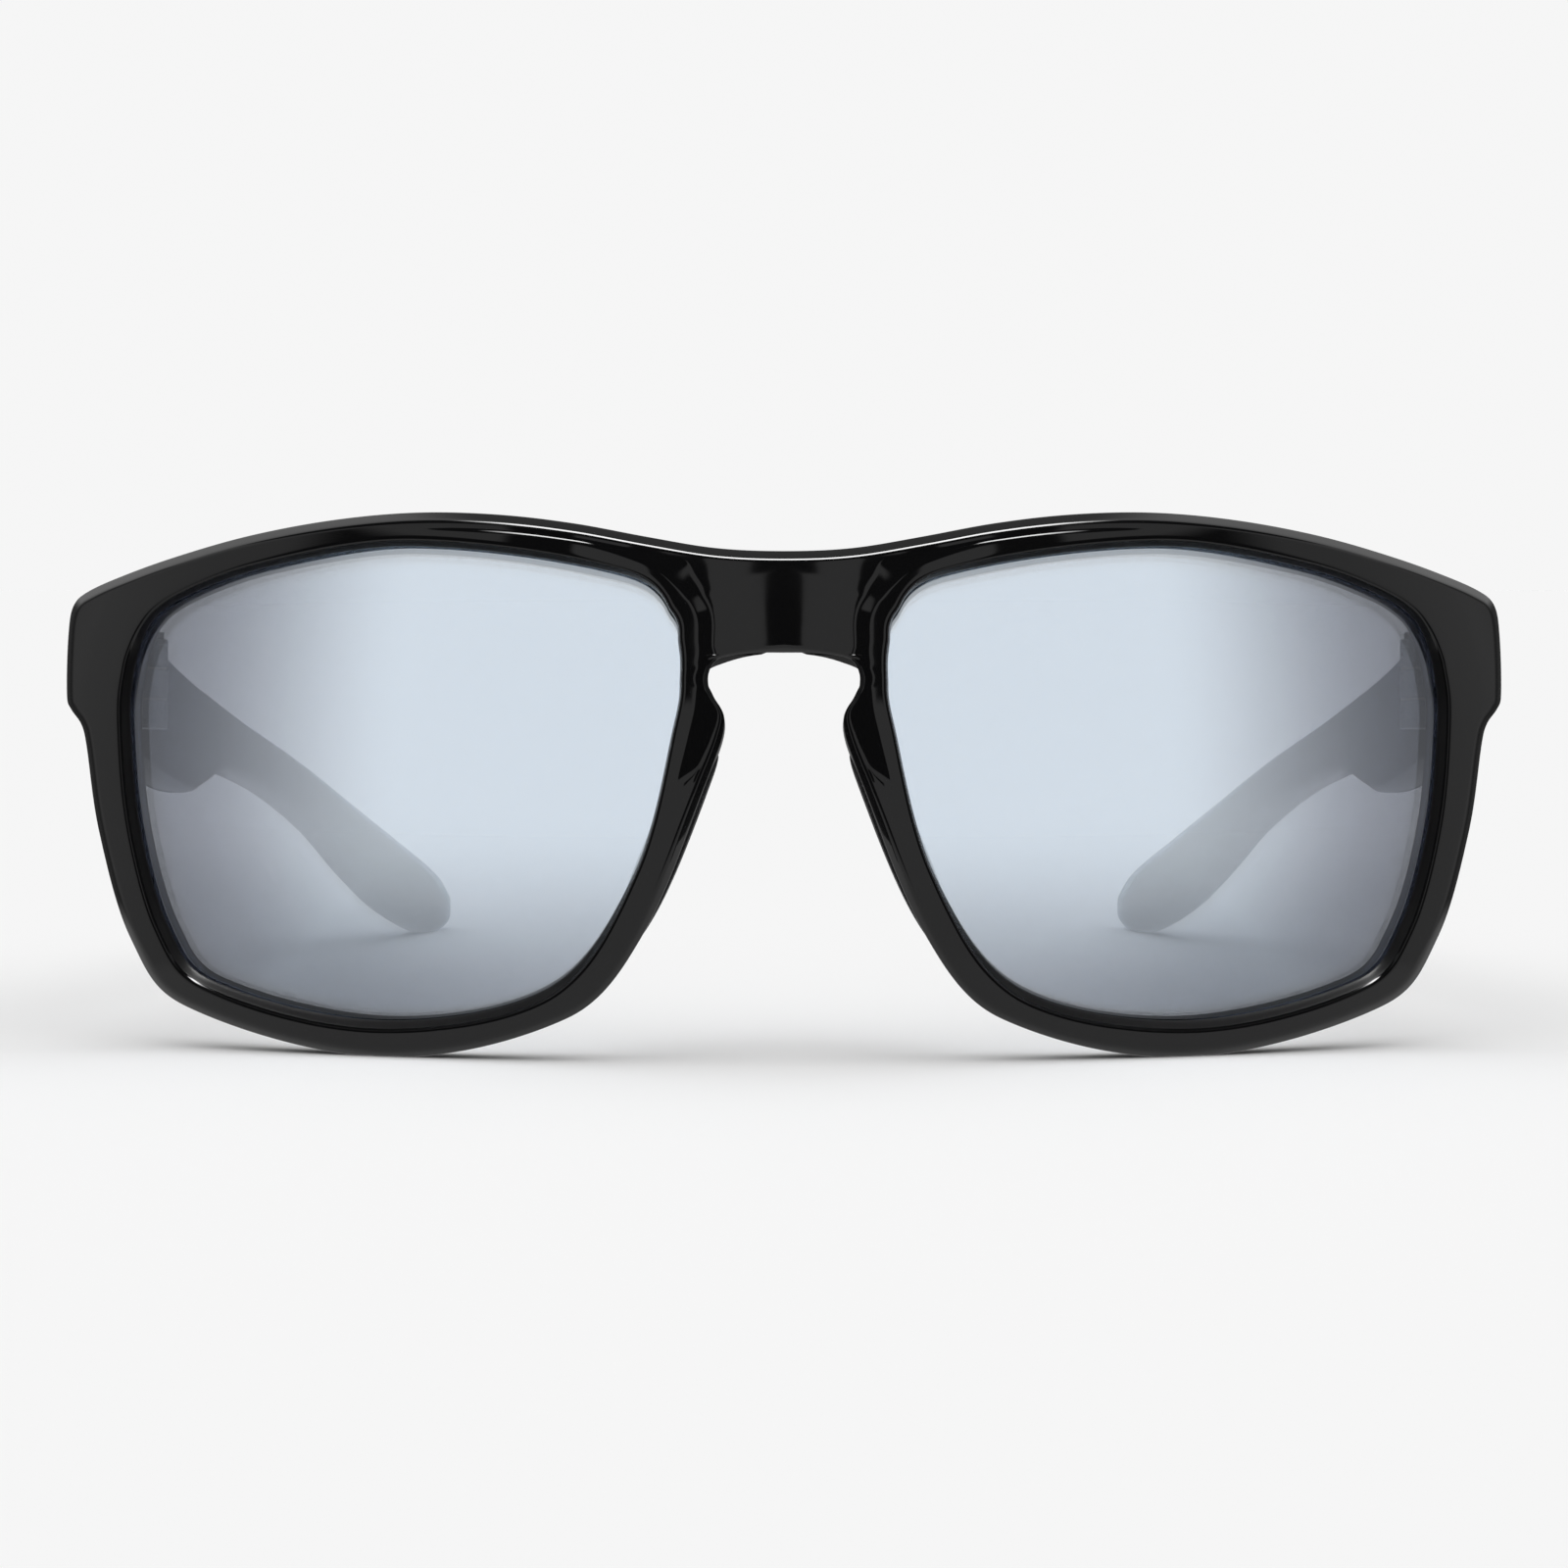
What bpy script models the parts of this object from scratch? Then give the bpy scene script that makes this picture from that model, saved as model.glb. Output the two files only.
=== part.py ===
"""Wrap sunglasses: a moulded frame front, two lenses, two folding temples and their metal barrel hinges.

Everything is drawn in the front's own upright frame, in millimetres: +X towards the wearer's left, +Y back
towards the ears, +Z up, with the frame's front face near y = 0. The assembly is then leaned back and set
down so that both rims and both temple tips stand on z = 0, with the origin under the middle of its box.
"""

import math

import bmesh
import bpy
from mathutils import Matrix, Vector

MM = 0.001

# Driving dimensions, in millimetres and degrees.
LEAN_DEG = 5.0  # the front leans back by this when the glasses stand on rims and tips
BASE_RADIUS = 87.0  # 6-base curve of the front face and of the lenses
WRAP_START = 14.5  # half the distance between the two rims' centres of curvature
WRAP_BLEND = 6.0  # length over which the flat bridge turns into the curved rims
LENS_MID_Z = 26.0  # height of the lens's middle
WALL_FLARE = 0.0025  # slope of the outer wall's front part, per millimetre out from (0, 10)
FLOOR_DROP = 0.62  # how far the front's z = 0 lies above the surface it stands on
BOX_MID_Y = 81.335  # middle of the whole object's length

LENS_RECESS = 1.30  # lens face below the frame face
LENS_THICK = 1.80
LENS_GAP = 0.15  # clearance all round the lens in its groove
LENS_BITE = 0.80  # least that the lens reaches into the groove
LENS_HOLD = 0.50  # how far it reaches beyond the back lip
RIM_BACK = 4.60  # depth of the rim's back lip

BUTT_Y = 31.0  # plane where the end pieces meet the temples
END_INNER_X = 66.4  # inner wall of the end piece
TOUCH_GAP = 0.15  # between pieces that bear on each other
BUTT_GAP = 0.30

HINGE_X = 64.5
HINGE_Z = 37.5
BARREL_R = 1.75
BARREL_H = 9.0
KNUCKLE_GAP = 0.40
LEAF_THICK = 1.0
BORE_R = 0.85
PIN_R = 0.75
WASHER_THICK = 0.20
SCREW_R = 0.60
SCREW_HEAD_R = 1.05
SCREW_HEAD_H = 0.50
SCREW_HOLE_R = 0.75

TEMPLE_END_Y = 160.0
TEMPLE_INNER_X = 67.6  # inner face where the temple leaves the hinge
TEMPLE_TUCK = 24.3  # how far the tip curves in towards the head
TUCK_START_Y = 28.0

FRAME_STATIONS = 66
SEAM_STATIONS = 4
LENS_STATIONS = 44
TEMPLE_STATIONS = 36
TIP_START_Y = 152.0
TIP_STATIONS = (8.0, 6.0, 4.3, 2.9, 1.8, 1.0, 0.45, 0.12)
ROUND_SIDES = 20

# Lens opening and outer edge of one half of the front, as (station, x, z). Equal stations face each other.
# Stations run from the top of the bridge, out along the brow, down the side and back under the lens to
# the nose; the last stretch, from station 44 to 48, closes the opening beside the bridge.
OPENING = (
    (0, 11.05, 42.9), (2, 15.4, 46.3), (5, 36.5, 49.4), (7, 51.5, 47.65), (8.5, 59.9, 44.9),
    (10, 63.0, 42.4), (13, 64.5, 37.2), (16, 64.6, 32.3), (19, 63.45, 22.4), (21, 60.7, 13.0),
    (23, 56.3, 7.6), (26, 39.2, 3.65), (29, 22.8, 6.6), (32, 14.5, 17.3), (36, 10.5, 32.2),
    (39, 10.0, 36.3), (44, 10.15, 39.8), (48, 11.05, 42.9),
)
OUTLINE = (
    (0, 0.0, 48.66), (1, 6.5, 48.95), (2, 13.2, 50.08), (3, 20.7, 51.53), (4, 28.4, 52.48), (5, 36.2, 52.79),
    (6, 44.4, 52.29), (7, 52.8, 51.1), (8, 60.3, 49.45), (9, 65.9, 47.95), (10, 70.0, 46.6),
    (11, 71.75, 45.35), (12, 72.25, 43.0), (14, 72.15, 35.9), (15, 71.6, 34.5), (16, 70.4, 33.0),
    (17, 69.75, 31.0), (19, 68.15, 22.0), (21, 64.8, 11.5), (23, 59.2, 4.9), (26, 39.0, -0.05),
    (29, 20.7, 3.8), (31, 13.6, 11.5), (34, 7.3, 26.5), (36, 5.65, 31.9), (38, 6.8, 34.7),
    (39, 7.1, 35.9), (40.5, 6.1, 37.7), (42, 3.6, 38.5), (44, 0.0, 38.7),
)
# Offsets outwards from the opening: of the front lip, of the seat below it, and of the back lip.
LIP_OUT = (
    (0, 0.15), (1, 0.3), (2, 0.5), (3, 0.65), (7, 0.65), (9, 0.8), (10, 0.95), (12, 1.35), (16, 1.4), (21, 1.35),
    (23, 1.1), (25, 1.1), (27, 0.95), (29, 0.85), (30, 0.6), (31, 0.35), (32, 0.22), (34, 0.18), (48, 0.15),
)
SEAT_OUT = (
    (0, 0.17), (2, 0.35), (5, 0.4), (7, 0.5), (8, 0.6), (9, 0.74), (10, 0.93), (12, 0.95), (16, 0.89), (20, 0.86),
    (22, 0.72), (23, 0.52), (26, 0.32), (29, 0.15), (31, 0.0), (46, 0.0), (48, 0.17),
)
BACK_OUT = (
    (0, 0.0), (2, 0.35), (5, 0.5), (7, 0.75), (8, 0.95), (9, 1.25), (10, 1.6), (20, 1.5), (22, 1.25), (23, 0.9),
    (25, 0.65), (27, 0.5), (29, 0.2), (31, 0.0), (48, 0.0),
)
# Width and drop of the outer edge's rounding, and depth of the back face, by station.
EDGE_WIDTH = ((0, 0.95), (10, 0.95), (12, 0.9), (18, 1.3), (30, 1.3), (34, 1.8), (39, 1.4), (44, 1.2))
EDGE_DROP = ((0, 1.5), (10, 1.5), (12, 1.0), (18, 1.2), (30, 1.3), (34, 2.4), (39, 2.4), (44, 1.6))
BACK_DEPTH = ((0, 5.6), (5, 4.9), (8, 4.9), (18, 4.9), (30, 4.9), (33, 6.2), (39, 6.2), (44, 5.6))
# Share by which the back is drawn out to the butt plane, to make the end piece, and its outline there.
END_PIECE = ((8.6, 0.0), (10.3, 1.0), (16.8, 1.0), (18.4, 0.0))
BUTT_OUTLINE = (
    (8, 62.0, 47.0), (10, 69.3, 45.9), (11, 71.2, 45.6), (12, 72.1, 44.6), (13, 72.3, 42.5), (15, 72.3, 36.0),
    (16, 72.3, 33.2), (17, 71.9, 31.2), (18, 70.0, 30.5), (19, 67.5, 30.3),
)

# Side view of a temple: distance back, and height of each edge.
TEMPLE_TOP = (
    (28, 45.5), (44, 44.3), (64, 41.0), (88, 37.2), (110, 33.3), (130, 28.2), (149, 22.5),
    (155, 20.3), (158.4, 18.4), (160, 16.2),
)
TEMPLE_BOTTOM = (
    (28, 30.5), (44, 29.5), (61, 28.1), (68, 27.9), (73, 28.9), (80, 30.5), (88, 30.5), (103, 28.5),
    (118, 24.6), (130, 19.6), (140, 15.8), (149, 13.3), (154, 12.65), (158.4, 13.8), (160, 16.2),
)
TEMPLE_THICK = ((28, 4.7), (48, 4.4), (88, 3.5), (138, 3.8), (154, 3.6), (159, 2.6), (160, 1.2))
TEMPLE_CORNER = 1.1

# Nose pad: stations that it covers on the nose edge, and its section as (out from the edge, depth below
# the front face), going round from its front corner.
PAD_START = 30.4
PAD_END = 34.9
PAD_SECTION = (
    (0.22, 4.6), (0.36, 4.9), (0.40, 5.6), (0.36, 6.6), (0.0, 8.2), (-1.0, 10.2), (-2.4, 11.4),
    (-3.6, 11.2), (-3.7, 10.2), (-2.9, 8.8), (-2.0, 7.4), (-0.7, 7.1), (0.26, 5.9),
)
PAD_ROOT = (0.2, 7.3)
PAD_SLICES = 12

GLOSS_BLACK = ("gloss_black", (0.012, 0.012, 0.013, 1.0), 0.12, 0.0)
SILVER_LENS = ("silver_lens", (0.62, 0.67, 0.74, 1.0), 0.04, 0.6)
PAD_RUBBER = ("pad_rubber", (0.02, 0.02, 0.02, 1.0), 0.6, 0.0)
HINGE_STEEL = ("hinge_steel", (0.55, 0.55, 0.56, 1.0), 0.3, 1.0)
NYLON = ("nylon", (0.75, 0.74, 0.70, 1.0), 0.5, 0.0)


def at(knots, station):
    """Straight-line value between (station, value) knots, held level past both ends."""
    if station <= knots[0][0]:
        return knots[0][1]
    for (s0, v0), (s1, v1) in zip(knots, knots[1:]):
        if station <= s1:
            return v0 + (v1 - v0) * (station - s0) / (s1 - s0)
    return knots[-1][1]


def smooth(share):
    share = min(1.0, max(0.0, share))
    return share * share * (3.0 - 2.0 * share)


def curve_at(knots, station, closed=False, mirrored=False):
    """Point of a smooth curve through (station, value, ...) knots, by Hermite spans with chord tangents.

    A mirrored curve goes on as its own mirror image across x = 0 past both ends.
    """
    count = len(knots)
    span = next((i for i in range(count - 1) if station <= knots[i + 1][0]), count - 2)

    def knot(i):
        if closed and i < 0:
            row = knots[count - 1 + i]
            return (row[0] - knots[-1][0], *row[1:])
        if closed and i >= count:
            row = knots[i - count + 1]
            return (row[0] + knots[-1][0], *row[1:])
        if mirrored and not 0 <= i < count:
            end = 0 if i < 0 else count - 1
            s, x, z = knots[2 * end - i]
            return (2 * knots[end][0] - s, -x, z)
        return knots[max(0, min(count - 1, i))]

    def slope(i):
        before, after = knot(i - 1), knot(i + 1)
        run = after[0] - before[0]
        return [(b - a) / run for a, b in zip(before[1:], after[1:])]

    k0, k1 = knot(span), knot(span + 1)
    width = k1[0] - k0[0]
    t = (station - k0[0]) / width
    h00, h10 = 2 * t**3 - 3 * t**2 + 1, t**3 - 2 * t**2 + t
    h01, h11 = -2 * t**3 + 3 * t**2, t**3 - t**2
    m0, m1 = slope(span), slope(span + 1)
    return [
        h00 * k0[j + 1] + h10 * width * m0[j] + h01 * k1[j + 1] + h11 * width * m1[j]
        for j in range(len(k0) - 1)
    ]


def face_point(x, z, depth=0.0, flare=0.0):
    """Point below the curved front face at (x, z), in along the face's normal by depth millimetres.

    The first flare millimetres of the depth go along the slightly flared outer wall instead.
    """
    beyond = abs(x) - WRAP_START
    root = math.hypot(beyond, WRAP_BLEND)
    reach = 0.5 * (beyond + root)
    reach_slope = 0.5 * (1.0 + beyond / root)
    rise = z - LENS_MID_Z
    fall = math.sqrt(BASE_RADIUS**2 - reach**2 - rise**2)
    normal = Vector((-math.copysign(reach * reach_slope, x) / fall, 1.0, -rise / fall)).normalized()
    wall = Vector((x * WALL_FLARE, 1.0, (z - 10.0) * WALL_FLARE))
    along_wall = min(depth, flare)
    return Vector((x, BASE_RADIUS - fall, z)) + wall * along_wall + normal * (depth - along_wall)


def opening_at(station, grow=0.0):
    """(x, z) on the lens opening, moved outwards by grow."""
    x, z = curve_at(OPENING, station % 48, closed=True)
    ahead = curve_at(OPENING, (station + 0.02) % 48, closed=True)
    tangent = Vector((ahead[0] - x, ahead[1] - z)).normalized()
    return Vector((x - tangent.y * grow, z + tangent.x * grow))


def lens_bite(station):
    """How far outside the opening the lens's own edge lies."""
    return max(LENS_BITE, at(BACK_OUT, station) + LENS_HOLD)


def outline_at(station, inset=0.0):
    """(x, z) on the outer edge, moved inwards by inset. Both ends lie on the mirror plane."""
    x, z = curve_at(OUTLINE, station, mirrored=True)
    before = curve_at(OUTLINE, max(0.0, station - 0.02), mirrored=True)
    ahead = curve_at(OUTLINE, min(44.0, station + 0.02), mirrored=True)
    tangent = Vector((ahead[0] - before[0], ahead[1] - before[1])).normalized()
    if station <= 0.0 or station >= 44.0:
        tangent = Vector((1.0 if station <= 0.0 else -1.0, 0.0))
    return Vector((x + tangent.y * inset, z - tangent.x * inset))


def add_object(name, mesh_points, faces, parent, look, origin=(0.0, 0.0, 0.0), side=1):
    """A mesh object from points in the front's frame, in millimetres, with its origin at a given point.

    side -1 mirrors the piece to the wearer's right.
    """
    mesh = bpy.data.meshes.new(name)
    shift = Vector((side * origin[0], origin[1], origin[2]))
    points = [(Vector((side * p[0], p[1], p[2])) - shift) * MM for p in mesh_points]
    mesh.from_pydata(points, [], [f if side > 0 else tuple(reversed(f)) for f in faces])
    mesh.validate()
    obj = bpy.data.objects.new(name, mesh)
    bpy.context.scene.collection.objects.link(obj)
    obj.parent = parent
    if parent.name == "glasses":
        obj.location = shift * MM
    paint(obj, look)
    face_outwards(mesh)
    mesh.shade_smooth()
    mesh.set_sharp_from_angle(angle=math.radians(32))
    return obj


def face_outwards(mesh):
    shape = bmesh.new()
    shape.from_mesh(mesh)
    bmesh.ops.recalc_face_normals(shape, faces=shape.faces)
    shape.to_mesh(mesh)
    shape.free()


def paint(obj, look):
    name, colour, roughness, metallic = look
    material = bpy.data.materials.get(name)
    if material is None:
        material = bpy.data.materials.new(name)
        material.use_nodes = True
        shader = material.node_tree.nodes["Principled BSDF"]
        shader.inputs["Base Color"].default_value = colour
        shader.inputs["Roughness"].default_value = roughness
        shader.inputs["Metallic"].default_value = metallic
    obj.data.materials.append(material)


def bridge(faces, ring_a, ring_b, closed=True):
    """Quads between two equally long rows of vertex numbers."""
    count = len(ring_a)
    for i in range(count if closed else count - 1):
        j = (i + 1) % count
        faces.append((ring_a[i], ring_a[j], ring_b[j], ring_b[i]))


def front_half():
    """Points and faces of one half of the front, open at the mirror plane.

    Full rings go round the lens opening. The rounding and the outer wall are strips that stop at the plane.
    """
    points, faces = [], []
    outer = [44.0 * i / (FRAME_STATIONS - 1) for i in range(FRAME_STATIONS)]
    seam = [44.0 + 4.0 * (i + 1) / (SEAM_STATIONS + 1) for i in range(SEAM_STATIONS)]

    def add(row):
        start = len(points)
        points.extend(row)
        return list(range(start, start + len(row)))

    def opening_ring(grow, depth, table):
        return add([face_point(*opening_at(s, grow + at(table, s)), depth) for s in outer + seam])

    def groove_ring(depth):
        return add([face_point(*opening_at(s, lens_bite(s) + 0.2), depth) for s in outer + seam])

    def edge_point(station, inset):
        """(x, z) inset from the outer edge, or on the mirror plane along the seam."""
        if station <= 44.0:
            return outline_at(station, inset * at(EDGE_WIDTH, station))
        share = (station - 44.0) / 4.0
        low = outline_at(44.0, inset * at(EDGE_WIDTH, 44.0)).y
        high = outline_at(0.0, inset * at(EDGE_WIDTH, 0.0)).y
        return Vector((0.0, low + (high - low) * share))

    def back_depth(station):
        if station <= 44.0:
            return at(BACK_DEPTH, station)
        return BACK_DEPTH[0][1]

    def drawn_out(station, place, inner_wall=False):
        """A back point moved towards the butt plane where the end piece is."""
        share = smooth(at(END_PIECE, station)) if station <= 44.0 else 0.0
        if share == 0.0:
            return place
        x, z = curve_at(BUTT_OUTLINE, station)
        if inner_wall:
            x = END_INNER_X
            z = min(45.0, max(31.0, z))
        return place.lerp(Vector((x, BUTT_Y, z)), share)

    lip_gap = LENS_RECESS - LENS_GAP
    groove_back = LENS_RECESS + LENS_THICK + LENS_GAP
    rings = [
        groove_ring(lip_gap),
        opening_ring(0.0, lip_gap, SEAT_OUT),
        opening_ring(0.0, 0.3, LIP_OUT),
        opening_ring(0.3, 0.0, LIP_OUT),
    ]
    for share in (0.5, 1.0):
        row = []
        for s in outer + seam:
            inner, edge = opening_at(s, 0.3 + at(LIP_OUT, s)), edge_point(s, 1.0)
            row.append(face_point(*inner.lerp(edge, share), 0.0))
        rings.append(add(row))
    for ring, after in zip(rings, rings[1:]):
        bridge(faces, ring, after)

    def strip(inset, drop, from_back=False):
        row = []
        for s in outer:
            depth = drop * at(EDGE_DROP, s)
            if from_back:
                depth = back_depth(s) - drop
            row.append(face_point(*edge_point(s, inset), depth, at(EDGE_DROP, s)))
        return row

    front_edge = rings[-1][:FRAME_STATIONS]
    half_way = add(strip(0.35, 0.36))
    wall_front = add(strip(0.0, 1.0))
    wall_row = [drawn_out(s, p) for s, p in zip(outer, strip(0.0, 0.8, True))]
    wall_back = add(wall_row)
    for ring, after in ((front_edge, half_way), (half_way, wall_front), (wall_front, wall_back)):
        bridge(faces, ring, after, closed=False)

    back_outer = []
    for s in outer + seam:
        place = face_point(*edge_point(s, 0.55), back_depth(s), 1.2)
        back_outer.append(drawn_out(s, place, inner_wall=True))
    back_edge = add(back_outer)
    bridge(faces, wall_back, back_edge[:FRAME_STATIONS], closed=False)

    foot_row = []
    for s in outer + seam:
        inner, edge = opening_at(s, 0.7 + at(BACK_OUT, s)), edge_point(s, 1.0)
        share = 0.55
        if s <= 44.0:
            reach = (edge.x - END_INNER_X) / max(0.1, edge.x - inner.x)
            share = share + (1.0 - reach - share) * smooth(at(END_PIECE, s)) * (reach > 0.0)
        depth = RIM_BACK + (back_depth(s) - RIM_BACK) * share
        place = face_point(*inner.lerp(edge, min(0.9, share)), depth)
        end_share = smooth(at(END_PIECE, s)) if s <= 44.0 else 0.0
        wall_foot = Vector((END_INNER_X, place.y, place.z))
        foot_row.append(place.lerp(wall_foot, end_share))
    foot = add(foot_row)
    back_rings = [
        back_edge,
        foot,
        opening_ring(0.45, RIM_BACK, BACK_OUT),
        opening_ring(0.05, RIM_BACK - 0.4, BACK_OUT),
        opening_ring(0.0, groove_back, BACK_OUT),
        groove_ring(groove_back),
        rings[0],
    ]
    for ring, after in zip(back_rings, back_rings[1:]):
        bridge(faces, ring, after)
    for number in [front_edge[0], front_edge[-1], *rings[-1][FRAME_STATIONS:]]:
        points[number].x = 0.0
    for row in (half_way, wall_front, wall_back):
        points[row[0]].x = points[row[-1]].x = 0.0
    for number in [back_edge[0], *back_edge[FRAME_STATIONS - 1:]]:
        points[number].x = 0.0
    return points, faces


def add_cutter(name, place, radius, length, axis, parent, side):
    """A hidden round cutter that starts at a point and runs along +X or +Z of the front's frame."""
    cutter = add_rod(name, [(place, radius, length)], axis, parent, HINGE_STEEL, side=side)
    cutter.hide_render = True
    cutter.display_type = "WIRE"
    return cutter


def add_rod(name, steps, axis, parent, look, origin=(0.0, 0.0, 0.0), side=1):
    """A turned piece along +X or +Z: steps are (start point, radius, length), each following the last."""
    points, faces, rings = [], [], []
    for (x, y, z), radius, length in steps:
        for along in (0.0, length):
            ring = []
            for i in range(ROUND_SIDES):
                turn = math.tau * i / ROUND_SIDES
                u, v = radius * math.cos(turn), radius * math.sin(turn)
                offset = (along, u, v) if axis == "X" else (u, v, along)
                ring.append(len(points))
                points.append(Vector((x, y, z)) + Vector(offset))
            rings.append(ring)
    for ring, after in zip(rings, rings[1:]):
        bridge(faces, ring, after)
    faces.append(tuple(reversed(rings[0])))
    faces.append(tuple(rings[-1]))
    return add_object(name, points, faces, parent, look, origin, side)


def add_boolean(obj, other, operation):
    modifier = obj.modifiers.new(f"{operation.lower()} {other.name}", "BOOLEAN")
    modifier.operation = operation
    modifier.object = other
    modifier.solver = "EXACT"


def box_faces(low, high):
    points = [
        Vector((x, y, z)) for x in (low[0], high[0]) for y in (low[1], high[1]) for z in (low[2], high[2])
    ]
    faces = [(0, 1, 3, 2), (4, 6, 7, 5), (0, 4, 5, 1), (2, 3, 7, 6), (0, 2, 6, 4), (1, 5, 7, 3)]
    return points, faces


def join_hidden(obj, name, points, faces, parent, side):
    """Joins a hidden solid to obj by a Boolean union."""
    extra = add_object(name, points, faces, parent, HINGE_STEEL, side=side)
    extra.hide_render = True
    extra.display_type = "WIRE"
    add_boolean(obj, extra, "UNION")


def cut_floor_flat(obj, root):
    """Flattens what would reach under the surface that the glasses stand on."""
    floor = bpy.data.objects.get("floor_cutter")
    if floor is None:
        points, faces = box_faces((-90.0, -100.0, -10.0), (90.0, 100.0, 0.0))
        mesh = bpy.data.meshes.new("floor_cutter")
        mesh.from_pydata([p * MM for p in points], [], faces)
        face_outwards(mesh)
        floor = bpy.data.objects.new("floor_cutter", mesh)
        bpy.context.scene.collection.objects.link(floor)
        floor.hide_render = True
        floor.display_type = "WIRE"
    add_boolean(obj, floor, "DIFFERENCE")


def leaf_screw_places():
    """Where each leaf's two screws start, as (x, y, z) of the head's free end."""
    front_x = END_INNER_X - 2 * TOUCH_GAP - LEAF_THICK - SCREW_HEAD_H
    temple_x = TEMPLE_INNER_X - 2 * TOUCH_GAP - LEAF_THICK - SCREW_HEAD_H
    front = [(front_x, BUTT_Y - 4.9, HINGE_Z - 2.5), (front_x, BUTT_Y - 4.9, HINGE_Z + 2.5)]
    temple = [(temple_x, BUTT_Y + 5.5, HINGE_Z), (temple_x, BUTT_Y + 10.5, HINGE_Z)]
    return front, temple


def add_front(root):
    points, faces = front_half()
    front = add_object("front_frame", points, faces, root, GLOSS_BLACK)
    mirror = front.modifiers.new("other half", "MIRROR")
    mirror.use_clip = True
    mirror.merge_threshold = 0.00002
    cut_floor_flat(front, root)
    front_screws, _ = leaf_screw_places()
    for side, word in ((1, "left"), (-1, "right")):
        for number, (_, y, z) in enumerate(front_screws, 1):
            hole = add_cutter(
                f"end_piece_hole_{word}_{number}", (END_INNER_X - 1.0, y, z), SCREW_HOLE_R, 4.9, "X", root, side
            )
            add_boolean(front, hole, "DIFFERENCE")
    face_outwards(front.data)


def add_lens(word, side, root):
    """A lens: two spherical faces and a plain edge that sits in the rim's groove."""
    points, faces = [], []
    stations = [48.0 * i / LENS_STATIONS for i in range(LENS_STATIONS)]
    middle = Vector((37.5, LENS_MID_Z))
    shares = (1.0, 0.72, 0.44, 0.18)

    def rings(depth):
        made = []
        for share in shares:
            ring = list(range(len(points), len(points) + LENS_STATIONS))
            for s in stations:
                points.append(face_point(*middle.lerp(opening_at(s, lens_bite(s)), share), depth))
            made.append(ring)
        points.append(face_point(*middle, depth))
        return made, len(points) - 1

    front, front_mid = rings(LENS_RECESS)
    back, back_mid = rings(LENS_RECESS + LENS_THICK)
    for rows, mid in ((front, front_mid), (back, back_mid)):
        for ring, after in zip(rows, rows[1:]):
            bridge(faces, ring, after)
        for i in range(LENS_STATIONS):
            faces.append((rows[-1][i], rows[-1][(i + 1) % LENS_STATIONS], mid))
    bridge(faces, front[0], back[0])
    add_object(f"lens_{word}", points, faces, root, SILVER_LENS, side=side)


def add_nose_pad(word, side, root):
    """A rubber leaf that wraps the nose side of the rim, thinned to a rounded end at the top and the bottom."""
    points, faces, rings = [], [], []
    for i in range(PAD_SLICES + 1):
        share = i / PAD_SLICES
        station = PAD_START + (PAD_END - PAD_START) * share
        size = max(0.2, math.sqrt(max(0.0, 1.0 - (2.0 * share - 1.0) ** 4)))
        ring = []
        for out, depth in PAD_SECTION:
            if depth > 6.6 or out > 0.3:
                out, depth = Vector(PAD_ROOT).lerp(Vector((out, depth)), size) if depth > 6.6 else (
                    0.22 + (out - 0.22) * size, depth)
            ring.append(len(points))
            points.append(face_point(*outline_at(station, -out), depth, at(EDGE_DROP, station)))
        rings.append(ring)
    for ring, after in zip(rings, rings[1:]):
        bridge(faces, ring, after)
    faces.append(tuple(reversed(rings[0])))
    faces.append(tuple(rings[-1]))
    add_object(f"nose_pad_{word}", points, faces, root, PAD_RUBBER, side=side)


def temple_inner_x(y):
    return TEMPLE_INNER_X - TEMPLE_TUCK * ((y - TUCK_START_Y) / (TEMPLE_END_Y - TUCK_START_Y)) ** 2


def temple_section(y):
    """Rounded-corner section of a temple, as points in the front's frame."""
    bottom = curve_at(TEMPLE_BOTTOM, y)[0]
    top = curve_at(TEMPLE_TOP, y)[0]
    thick = at(TEMPLE_THICK, y)
    inner = temple_inner_x(y) + 0.5 * (4.0 - min(4.0, thick)) * smooth((y - 148.0) / 12.0)
    half_high = max(0.25, 0.5 * (top - bottom))
    corner = min(TEMPLE_CORNER, 0.45 * thick, 0.9 * half_high)
    row = []
    for quarter in range(4):
        sign_x = 1.0 if quarter in (0, 3) else -1.0
        sign_z = 1.0 if quarter in (0, 1) else -1.0
        for step in range(3):
            turn = math.radians(90.0 * quarter + 45.0 * step)
            x = inner + 0.5 * thick + sign_x * (0.5 * thick - corner) + corner * math.cos(turn)
            z = 0.5 * (top + bottom) + sign_z * (half_high - corner) + corner * math.sin(turn)
            row.append(Vector((x, y, z)))
    return row


def add_temple(word, side, root, pivot):
    points, faces, rings = [], [], []
    start = BUTT_Y + BUTT_GAP
    even = [start + (TIP_START_Y - start) * i / TEMPLE_STATIONS for i in range(TEMPLE_STATIONS)]
    for y in even + [TEMPLE_END_Y - to_end for to_end in TIP_STATIONS]:
        section = temple_section(y)
        rings.append(list(range(len(points), len(points) + len(section))))
        points.extend(section)
    for ring, after in zip(rings, rings[1:]):
        bridge(faces, ring, after)
    faces.append(tuple(reversed(rings[0])))
    faces.append(tuple(rings[-1]))
    temple = add_object(f"temple_{word}", points, faces, pivot, GLOSS_BLACK, hinge_place(), side)
    _, temple_screws = leaf_screw_places()
    for number, (_, y, z) in enumerate(temple_screws, 1):
        place = (TEMPLE_INNER_X - 1.0, y, z)
        hole = add_cutter(f"temple_hole_{word}_{number}", place, SCREW_HOLE_R, 4.1, "X", root, side)
        add_boolean(temple, hole, "DIFFERENCE")
    cut_floor_flat(temple, root)


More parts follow.
